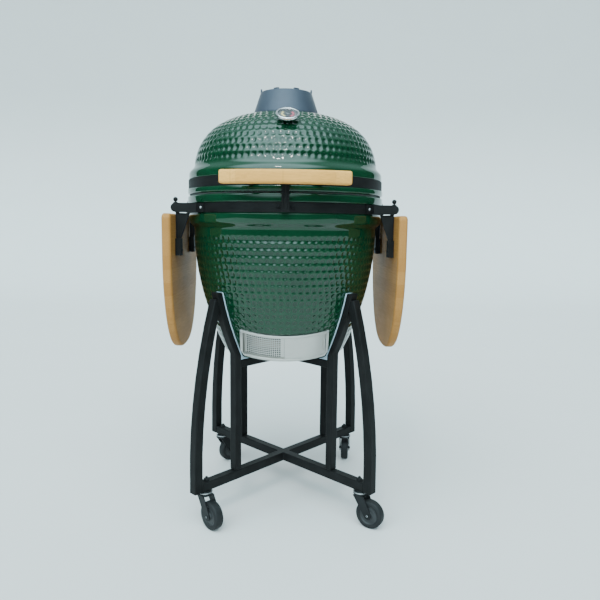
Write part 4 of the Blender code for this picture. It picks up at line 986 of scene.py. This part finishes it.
stations = [(-half_angle + EASE * 0.8 * (1 - cos(a)) / BEND, EASE * 0.8 * (1 - sin(a)))
            for a in (pi / 2 * i / 5 for i in range(6))]
stations += [(-half_angle * 0.94 + half_angle * 1.88 * i / 40, 0.0) for i in range(41)]
stations += [(-angle, shrink) for angle, shrink in reversed(stations[:6])]
bm = bmesh.new()
sections = [[bm.verts.new((r * sin(a), bend_y - r * cos(a), z)) for r, z in handle_section(shrink)]
            for a, shrink in stations]
for one, two in zip(sections, sections[1:]):
    for i in range(len(one)):
        j = (i + 1) % len(one)
        bm.faces.new((one[i], one[j], two[j], two[i]))
bm.faces.new(sections[0])
bm.faces.new(sections[-1])
bmesh.ops.recalc_face_normals(bm, faces=bm.faces[:])
stand_for("handle_bar", from_bmesh("handle_bamboo_bar", bm, 50.0), HANDLE_BAMBOO_PAINTED_LIT)

# %% [markdown]
# ## Shelves
# Each board hangs from its hinge edge, with straight sides and a bowed outer edge. The packed
# outline is repeated with more points, and its edges are routed to a generous radius.

# %% Rout the shelf boards
def shelf_outline(low, high):
    half, drop, corner = high.y, high.z - low.z, 0.014
    straight, bowed, squareness = 0.28, 0.72, 0.78
    points = arc(half - corner, high.z - corner, corner, 90, 0, 8)
    steps = [pi / 2 * i / 36 for i in range(37)]
    points += [(half * max(cos(a), 0.0) ** squareness, high.z - drop * straight - drop * bowed * sin(a))
               for a in steps[:-1]]
    return points + [(0.0, low.z)] + [(-y, z) for y, z in reversed(points)]


for word in ("left", "right"):
    low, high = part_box(f"shelf_board_{word}")
    outline = shelf_outline(low, high)
    board = slab(f"shelf_{word}_bamboo", outline, -high.x, -low.x, turn=Matrix.Rotation(pi / 2, 4, "Z"))
    stand_for(f"shelf_board_{word}", rounded(board, 0.0065, 5, 50.0), SHELF_WOOD)

# %% [markdown]
# ## Draft door
# A stainless frame bent to the bowl, with a perforated panel on the left and a plain one on the
# right that slide behind it. The perforations are one small cell, a square with a round hole, set
# out on a grid by a shape tree. The whole sheet is made flat and then rolled.

# %% Roll flat sheet to the door's bend
def rolled(obj, radius=DOOR_R, step=radians(1.5)):
    """Bend a flat piece: x runs round the bend, y stands out from it and z goes up."""
    bm = bmesh.new()
    bm.from_mesh(obj.data)
    far = max(abs(v.co.x) for v in bm.verts)
    for i in range(-int(far / radius / step), int(far / radius / step) + 1):
        geometry = bm.verts[:] + bm.edges[:] + bm.faces[:]
        cut = (i * step * radius, 0, 0)
        bmesh.ops.bisect_plane(bm, geom=geometry, dist=1e-7, plane_co=cut, plane_no=(1, 0, 0))
    for v in bm.verts:
        angle, out = v.co.x / radius, radius + v.co.y
        v.co = (out * sin(angle), -out * cos(angle), v.co.z)
    bm.transform(DOOR)
    bmesh.ops.recalc_face_normals(bm, faces=bm.faces[:])
    bm.to_mesh(obj.data)
    bm.free()
    obj.data.shade_smooth()
    obj.data.set_sharp_from_angle(angle=radians(35))
    return obj


RAIL, FRAME_DEPTH, LIP_DEPTH, SHEET = 0.007, 0.0075, 0.0012, 0.001
far, tall = DOOR_R * DOOR_HALF, DOOR_HALF_HEIGHT
clip = 0.012
frame_outline = [(-far, tall), (-far, -tall + clip), (-far + clip, -tall), (far - clip, -tall),
                 (far, -tall + clip), (far, tall)]


def plate(name, x0, x1, low, high, z0, z1):
    return slab(name, [(x0, z0), (x1, z0), (x1, z1), (x0, z1)], low, high)


door = slab("door_blank", frame_outline, 0.0, FRAME_DEPTH)
track = tall - RAIL + 0.003
side = far - RAIL
carve(door, plate("track", -side, side, -0.01, FRAME_DEPTH - LIP_DEPTH, -track, track),
      plate("window", -side + 0.002, side - 0.002, -0.01, 0.02, -track + 0.003, track - 0.003))
stand_for("draft_door_frame", rolled(rounded(door, 0.0006, 2)), SHEET_STEEL)

# %% The perforated panel
CELL, HOLE = 0.0056, 0.0022
COLUMNS, ROWS = 17, 10


def cell():
    """A square of sheet with an eight-sided hole through it."""
    bm = bmesh.new()
    ring_in = [(HOLE * cos(tau * (i + 0.5) / 8), HOLE * sin(tau * (i + 0.5) / 8)) for i in range(8)]
    half = CELL / 2
    short = half * 0.4142  # the tangent of 22.5 degrees
    ring_out = [(half, short), (short, half), (-short, half), (-half, short), (-half, -short),
                (-short, -half), (short, -half), (half, -short)]
    corners = [(half, half), (-half, half), (-half, -half), (half, -half)]
    layers = {}
    for y in (0.0, SHEET):
        inner, outer = ([bm.verts.new((x, y, z)) for x, z in ring] for ring in (ring_in, ring_out))
        layers[y] = inner
        for i in range(8):
            bm.faces.new((inner[i], inner[(i + 1) % 8], outer[(i + 1) % 8], outer[i]))
        for i, (x, z) in enumerate(corners):
            bm.faces.new((outer[2 * i], outer[2 * i + 1], bm.verts.new((x, y, z))))
    back, front = layers[0.0], layers[SHEET]
    for i in range(8):
        j = (i + 1) % 8
        bm.faces.new((back[i], back[j], front[j], front[i]))
    bmesh.ops.recalc_face_normals(bm, faces=bm.faces[:])
    return from_bmesh("cell", bm, 30.0)


def perforation_tree():
    sheet, given = shape_tree("perforations", Cell="object", Steel="material")
    info = sheet.node("GeometryNodeObjectInfo", {}, {"Object": given["Cell"]}, out="Geometry")
    spread = sheet.node("GeometryNodeInstanceOnPoints",
                        sockets={"Points": given["Geometry"], "Instance": info})
    real = sheet.node("GeometryNodeRealizeInstances", sockets={"Geometry": spread})
    welded = sheet.node("GeometryNodeMergeByDistance", sockets={"Geometry": real, "Distance": 0.00002})
    return close_tree(sheet, welded, given["Steel"])


panel_end, panel_mid = far - RAIL - 0.0008, 0.001 * DOOR_R
panel_tall, screen_out = track - 0.0006, 0.0006
grid_x = -(panel_end + panel_mid) / 2
grid = [(grid_x + CELL * (i - (COLUMNS - 1) / 2), screen_out, CELL * (j - (ROWS - 1) / 2))
        for i in range(COLUMNS) for j in range(ROWS)]
unit = cell()
mesh_sheet = grow(points_host("perforated", grid), perforation_tree(), Cell=unit, Steel=SHEET_STEEL)
bpy.data.objects.remove(unit, do_unlink=True)
half_x, half_z = CELL * COLUMNS / 2, CELL * ROWS / 2
grid_left, grid_right = grid_x - half_x, grid_x + half_x
strips = {"edge_l": (-panel_end, grid_left, -panel_tall, panel_tall),
          "edge_r": (grid_right, -panel_mid, -panel_tall, panel_tall),
          "edge_t": (grid_left, grid_right, half_z, panel_tall),
          "edge_b": (grid_left, grid_right, -panel_tall, -half_z)}
borders = [plate(name, x0, x1, screen_out, screen_out + SHEET, z0, z1)
           for name, (x0, x1, z0, z1) in strips.items()]
screen = rolled(joined("draft_screen_sheet", mesh_sheet, *borders))
stand_for("draft_screen_panel", screen, SHEET_STEEL)

# %% The plain panel and its pull
solid_out = 0.0046
blank = rounded(plate("plain_sheet", panel_mid, panel_end, solid_out, solid_out + SHEET,
                      -panel_tall, panel_tall), 0.0003, 1)
pull_x = panel_end - 0.006
pull = rounded(plate("pull", pull_x - 0.0026, pull_x, solid_out + 0.0005, FRAME_DEPTH + 0.0035,
                     -0.017, 0.017), 0.0007, 2)
stand_for("draft_solid_panel", rolled(joined("draft_plain_sheet", blank, pull)), SHEET_STEEL)

# %% [markdown]
# ## Casters
# Rubber tread on a harder core, an axle bolt through the fork, and a bright race under the stand.
# Each wheel is turned about its own joint's axis, so it spins true.

# %% Casters
for corner in CORNERS:
    wheel, fork = f"caster_wheel_{corner}", f"caster_fork_{corner}"
    spin, swivel = JOINT[f"wheel_turn_{corner}"], JOINT[f"swivel_turn_{corner}"]
    axle = Vector(spin["axis"]).normalized()
    aim = Vector((0, 0, 1)).rotation_difference(axle).to_matrix().to_4x4()
    turn = Matrix.Translation(spin["pos_m"]) @ aim
    radius, wide = spin["pos_m"][2], 0.012
    tread = arc(radius - 0.005, wide - 0.005, 0.005, 60, 0, 4) + [(radius, 0.0)]
    tread += [(r, -z) for r, z in reversed(tread[:-1])]
    tyre_profile = [(0.0255, wide - 0.0015), (0.0270, wide)] + tread
    tyre_profile += [(0.0270, -wide), (0.0255, -wide + 0.0015)]
    tyre = lathe(f"tyre_{corner}", tyre_profile, 72, ring=True, turn=turn)
    stand_for(wheel, tyre, TYRE)
    core = [(0.0046, wide), (0.0100, wide), (0.0115, wide - 0.0020), (0.0225, wide - 0.0035),
            (0.0254, wide - 0.0015)]
    hub_core = lathe(f"hub_{corner}", core + [(r, -z) for r, z in reversed(core)], 48, ring=True, turn=turn)
    keep(hub_core, BODY_OF[wheel], SLOT_OF[wheel], HUB)
    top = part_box(fork)[1].z
    race = Matrix.Translation((swivel["pos_m"][0], swivel["pos_m"][1], 0))
    race_section = rounded_box(0.0150, 0.0196, top - 0.0052, top - 0.0030, 0.0009)
    bright = lathe(f"race_{corner}", race_section, 40, ring=True, turn=race)
    keep(bright, BODY_OF[fork], SLOT_OF[fork], ZINC)

# %% [markdown]
# ## Lock pins, hinge pin and springs
# The knobs over the shelf brackets are sprung plungers. The lid's weight is balanced by two torsion
# springs on the hinge pin, which a spiral in a shape tree winds.

# %% Lock pins and hinge pin
for corner in CORNERS:
    low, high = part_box(f"lock_pin_{corner}")
    centre = Matrix.Translation(((low.x + high.x) / 2, (low.y + high.y) / 2, 0))
    ball, neck = 0.0062, 0.42  # the ball's radius, and its angle at the pin
    angles = [neck + (pi - neck) * i / 12 for i in range(12)]
    profile = [(0.0, low.z), (0.0020, low.z), (0.0025, low.z + 0.0005)]
    profile += [(ball * sin(a), high.z - ball - ball * cos(a)) for a in angles] + [(0.0, high.z)]
    stand_for(f"lock_pin_{corner}", lathe(f"lock_knob_{corner}", profile, 32, turn=centre), BLACK)

hinge_pos = Vector(JOINT["lid_hinge"]["pos_m"])
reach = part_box("hinge_pin")[1].x
lay = Matrix.Translation(hinge_pos) @ Matrix.Rotation(pi / 2, 4, "Y")
pin_profile = [(0.0, -reach), (0.0038, -reach), (0.0045, -reach + 0.0007), (0.0045, reach - 0.0007),
               (0.0038, reach), (0.0, reach)]
stand_for("hinge_pin", lathe("hinge_rod", pin_profile, 32, turn=lay), BRIGHT)

# %% Hinge springs
def spring_tree():
    sheet, given = shape_tree("spring", Turns="float", Radius="float", Length="float", Wire="float",
                              Steel="material")
    coil = sheet.node("GeometryNodeCurveSpiral", sockets={
        "Resolution": 24, "Rotations": given["Turns"], "Start Radius": given["Radius"],
        "End Radius": given["Radius"], "Height": given["Length"]})
    return close_tree(sheet, swept(sheet, coil, given["Wire"], 8), given["Steel"])


SPRING = spring_tree()
for word, start in (("left", -0.0375), ("right", 0.0025)):
    coil = grow(points_host(f"hinge_spring_{word}", [(0, 0, 0)]), SPRING, Turns=13.0, Radius=0.0078,
                Length=0.035, Wire=0.0012, Steel=ZINC)
    place = Matrix.Translation(hinge_pos + Vector((start, 0, 0)))
    coil.data.transform(place @ Matrix.Rotation(pi / 2, 4, "Y"))
    coil.data.shade_smooth()
    keep(coil, BODY_OF["hinge_pin"], SLOT_OF["hinge_pin"], ZINC)

# %% [markdown]
# ## Fasteners
# Screws and nuts repeat all over the stand. One is modelled, and a shape tree sets a copy at each
# point of a host mesh, turned to face the way that the point's `aim` says.

# %% The tree that sets fasteners, and three heads
def fastener_tree():
    sheet, given = shape_tree("set_fasteners", Head="object", Steel="material")
    info = sheet.node("GeometryNodeObjectInfo", {}, {"Object": given["Head"]}, out="Geometry")
    aim = sheet.node("GeometryNodeInputNamedAttribute", {"data_type": "FLOAT_VECTOR"}, {"Name": "aim"})
    turned = sheet.node("FunctionNodeAlignRotationToVector", {"axis": "Z"}, {"Vector": aim})
    spread = sheet.node("GeometryNodeInstanceOnPoints",
                        sockets={"Points": given["Geometry"], "Instance": info, "Rotation": turned})
    return close_tree(sheet, spread, given["Steel"])


FASTENERS = fastener_tree()
HEADS = {
    "button": lathe("button_head", [(0.0, 0.0008), (0.0016, 0.0008), (0.0018, 0.0022), (0.0026, 0.0019),
                                    (0.0036, 0.0010), (0.0038, 0.0), (0.0038, -0.0010), (0.0, -0.0010)], 14),
    "hex": lathe("hex_nut", [(0.0, 0.0105), (0.0030, 0.0105), (0.0036, 0.0098), (0.0036, 0.0060),
                             (0.0070, 0.0060), (0.0076, 0.0054), (0.0076, 0.0), (0.0, 0.0)], 6, sharp=20.0),
    "pan": lathe("pan_head", [(0.0, 0.0010), (0.0008, 0.0014), (0.0020, 0.0012), (0.0028, 0.0004),
                              (0.0029, -0.0008), (0.0, -0.0008)], 12),
}


def fasten(name, body, slot, head, material, places):
    """places are (point, aim) pairs in metres."""
    host = points_host(name, [p for p, _ in places], aim=[tuple(a) for _, a in places])
    made = grow(host, FASTENERS, Head=HEADS[head], Steel=material)
    return keep(made, body, slot, material)


def round_band(radius, angle, z):
    """A point on a band and the way it faces; the angle runs from the front."""
    way = Vector((sin(radians(angle)), -cos(radians(angle)), 0))
    return way * radius + Vector((0, 0, z)), way


# %% Set the fasteners
ROOT = BODY_OF["base_bowl"]
plate_r = LIP - 0.0022 + 0.0003 + 0.0030
base_mid, lid_mid = (BAND_LOW + BAND_HIGH) / 2, (LID_BAND_LOW + LID_BAND_HIGH) / 2
keeper_bolts = [round_band(plate_r, a, base_mid - 0.001) for a in (-3.4, 3.4)]
hinge_bolts = [round_band(plate_r, 180 + a, base_mid) for a in (-11.5, -5.5, 5.5, 11.5)]
fasten("band_bolts", ROOT, "black_steel", "button", BLACK, keeper_bolts + hinge_bolts)
lid_bolts = [round_band(plate_r, 180 + a, lid_mid) for a in (-11.8, -5.0, 5.0, 11.8)]
lid_bolts += [round_band(plate_r, a, lid_mid) for a in (-20.4, -12.0, 12.0, 20.4)]
fasten("lid_band_bolts", BODY_OF["dome_lid"], "black_steel", "button", BLACK, lid_bolts)
stems, flange_bolts = [], []
rail_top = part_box("lower_cross")[1].z
for corner in CORNERS:
    x, y = JOINT[f"swivel_turn_{corner}"]["pos_m"][:2]
    stems.append((Vector((x * 0.985, y * 0.985, rail_top)), Vector((0, 0, 1))))
    pin_low, pin_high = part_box(f"lock_pin_{corner}")
    pin_y = (pin_low.y + pin_high.y) / 2
    bearing = np.degrees(atan2(np.sign(x) * sqrt(plate_r ** 2 - pin_y ** 2), -pin_y))
    flange_bolts += [round_band(plate_r + 0.001, bearing + a, base_mid) for a in (-7.2, 7.2)]
fasten("stem_nuts", ROOT, "black_steel", "hex", CASTER_BLACK, stems)
fasten("bracket_bolts", ROOT, "black_steel", "button", ZINC, flange_bolts)

door_screws = []
for u in (-1, 1):
    for v in (-1, 1):
        angle, z = u * (DOOR_HALF - 0.018), v * (tall - 0.0048) + (0.0075 if v < 0 else 0.0)
        local = Vector(((DOOR_R + FRAME_DEPTH) * sin(angle), -(DOOR_R + FRAME_DEPTH) * cos(angle), z))
        door_screws.append((DOOR @ local, DOOR.to_3x3() @ Vector((sin(angle), -cos(angle), 0))))
fasten("door_screws", ROOT, SLOT_OF["draft_door_frame"], "pan", ZINC, door_screws)
for word, out in (("left", 1), ("right", -1)):
    places = []
    for row in ("front", "rear"):
        low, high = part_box(f"shelf_arm_{row}_{word}")
        board_low, board_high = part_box(f"shelf_board_{word}")
        foot_x = board_high.x + 0.0150 if word == "left" else board_low.x - 0.0150
        mid_y, screw_z = (low.y + high.y) / 2, low.z + 0.014
        places += [(Vector((foot_x, mid_y + 0.0075 * s, screw_z)), Vector((out, 0, 0))) for s in (-1, 1)]
    fasten(f"shelf_screws_{word}", BODY_OF[f"shelf_board_{word}"], "black_steel", "pan", BLACK, places)
for corner in CORNERS:
    spin = JOINT[f"wheel_turn_{corner}"]
    axle = Vector(spin["axis"]).normalized()
    places = [(Vector(spin["pos_m"]) + axle * s * 0.0170, axle * s) for s in (-1, 1)]
    fork = f"caster_fork_{corner}"
    fasten(f"axle_heads_{corner}", BODY_OF[fork], SLOT_OF[fork], "button", ZINC, places)
for head in HEADS.values():
    bpy.data.objects.remove(head, do_unlink=True)

# %% [markdown]
# ## Pressed ribs on the latch
# Two ribs stiffen the strap. They are thin round bars laid half into its face.

# %% Latch ribs
strap_low, strap_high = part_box("latch_strap")
rib_y = JOINT["latch_swing"]["pos_m"][1] - 0.0015
ribs = [([(x, rib_y, strap_low.z + 0.004), (x, rib_y, strap_high.z - 0.012)], False)
        for x in (-0.0048, 0.0048)]
rib = grow(wire("latch_ribs", ribs), ROUND_BARS, Radius=0.0013, Sides=10, Steel=BLACK)
keep(rib, BODY_OF["latch_strap"], SLOT_OF["latch_strap"], BLACK)

# %% [markdown]
# ## Floor, light and camera
# A pale floor that curves up behind, a small soft panel high in front, a wide one behind, and a
# sky that is bright overhead and brightest above the camera. The sky draws the broad pale patch on
# the dome and stays dark near the horizon, so the bowl keeps its deep green.

# %% Stage
def sweep(name="studio_floor"):
    """A flat floor that bends up into a back wall."""
    bend, turns = 2.5, [pi / 2 * i / 16 for i in range(1, 17)]
    points = [(-6.0, 0.0), (4.0, 0.0)] + [(4.0 + bend * sin(a), bend * (1 - cos(a))) for a in turns]
    points += [(6.5, 7.0)]
    verts = [(x, y, z) for y, z in points for x in (-9.0, 9.0)]
    faces = [(2 * i, 2 * i + 1, 2 * i + 3, 2 * i + 2) for i in range(len(points) - 1)]
    mesh = bpy.data.meshes.new(name)
    mesh.from_pydata(verts, [], faces)
    mesh.shade_smooth()
    made = bpy.data.objects.new(name, mesh)
    bpy.context.scene.collection.objects.link(made)
    return made


floor = sweep()
paint = Finish("floor_paint", Roughness=0.9, Specular_IOR_Level=0.1)
mottle = paint.noise(3.0, 2.0)
floor.data.materials.append(paint.give(Base_Color=paint.mix(mottle, (0.62, 0.59, 0.58), (0.64, 0.61, 0.60))))


def area_light(name, place, target, width, height, watts, colour=(1, 1, 1)):
    data = bpy.data.lights.new(name, "AREA")
    data.shape = "RECTANGLE"
    data.size, data.size_y, data.energy, data.color = width, height, watts, colour
    lamp = bpy.data.objects.new(name, data)
    lamp.location = place
    lamp.rotation_euler = (Vector(target) - Vector(place)).to_track_quat("-Z", "Y").to_euler()
    bpy.context.scene.collection.objects.link(lamp)


MIDDLE = (0, 0, 0.75)
area_light("small_panel", (-0.45, -2.7, 3.2), MIDDLE, 0.36, 0.30, 36, (1.0, 0.97, 0.93))
area_light("back_panel", (0.0, 2.6, 2.8), MIDDLE, 2.4, 1.2, 14)
world = bpy.data.worlds.new("soft_sky")
bpy.context.scene.world = world
world.use_nodes = True
heaven = Sheet(world.node_tree)
way = heaven.node("ShaderNodeTexCoord", out="Generated")
height = heaven.node("ShaderNodeSeparateXYZ", sockets={0: way}, out="Z")
BRIGHT_WAY = (-0.16, -0.60, 0.78)  # over the camera's left shoulder
toward = heaven.node("ShaderNodeVectorMath", {"operation": "DOT_PRODUCT"}, {0: way, 1: BRIGHT_WAY},
                     out="Value")


def soft_step(value, low, high):
    return heaven.node("ShaderNodeMapRange", {"interpolation_type": "SMOOTHSTEP"}, {
        "Value": value, "From Min": low, "From Max": high, "To Min": 0.0, "To Max": 1.0})


sky = world.node_tree.nodes["Background"]
sky.inputs["Color"].default_value = (0.66, 0.93, 1.0, 1.0)
horizon, overhead, patch = 0.07, 0.80, 6.0
heaven.feed(sky.inputs["Strength"],
            horizon + soft_step(height, 0.30, 0.90) * overhead + soft_step(toward, 0.60, 0.90) * patch)

camera = bpy.data.objects.new("camera", bpy.data.cameras.new("camera"))
camera.data.lens, camera.data.sensor_width = 34.25, 36.0
camera.location = (0.0, -1.649, 0.793)
aim = Matrix.Rotation(radians(-1.55), 3, "Z") @ Matrix.Rotation(radians(82.61), 3, "X")
camera.rotation_euler = (aim @ Matrix.Rotation(radians(0.66), 3, "Z")).to_euler()
bpy.context.scene.collection.objects.link(camera)
bpy.context.scene.camera = camera
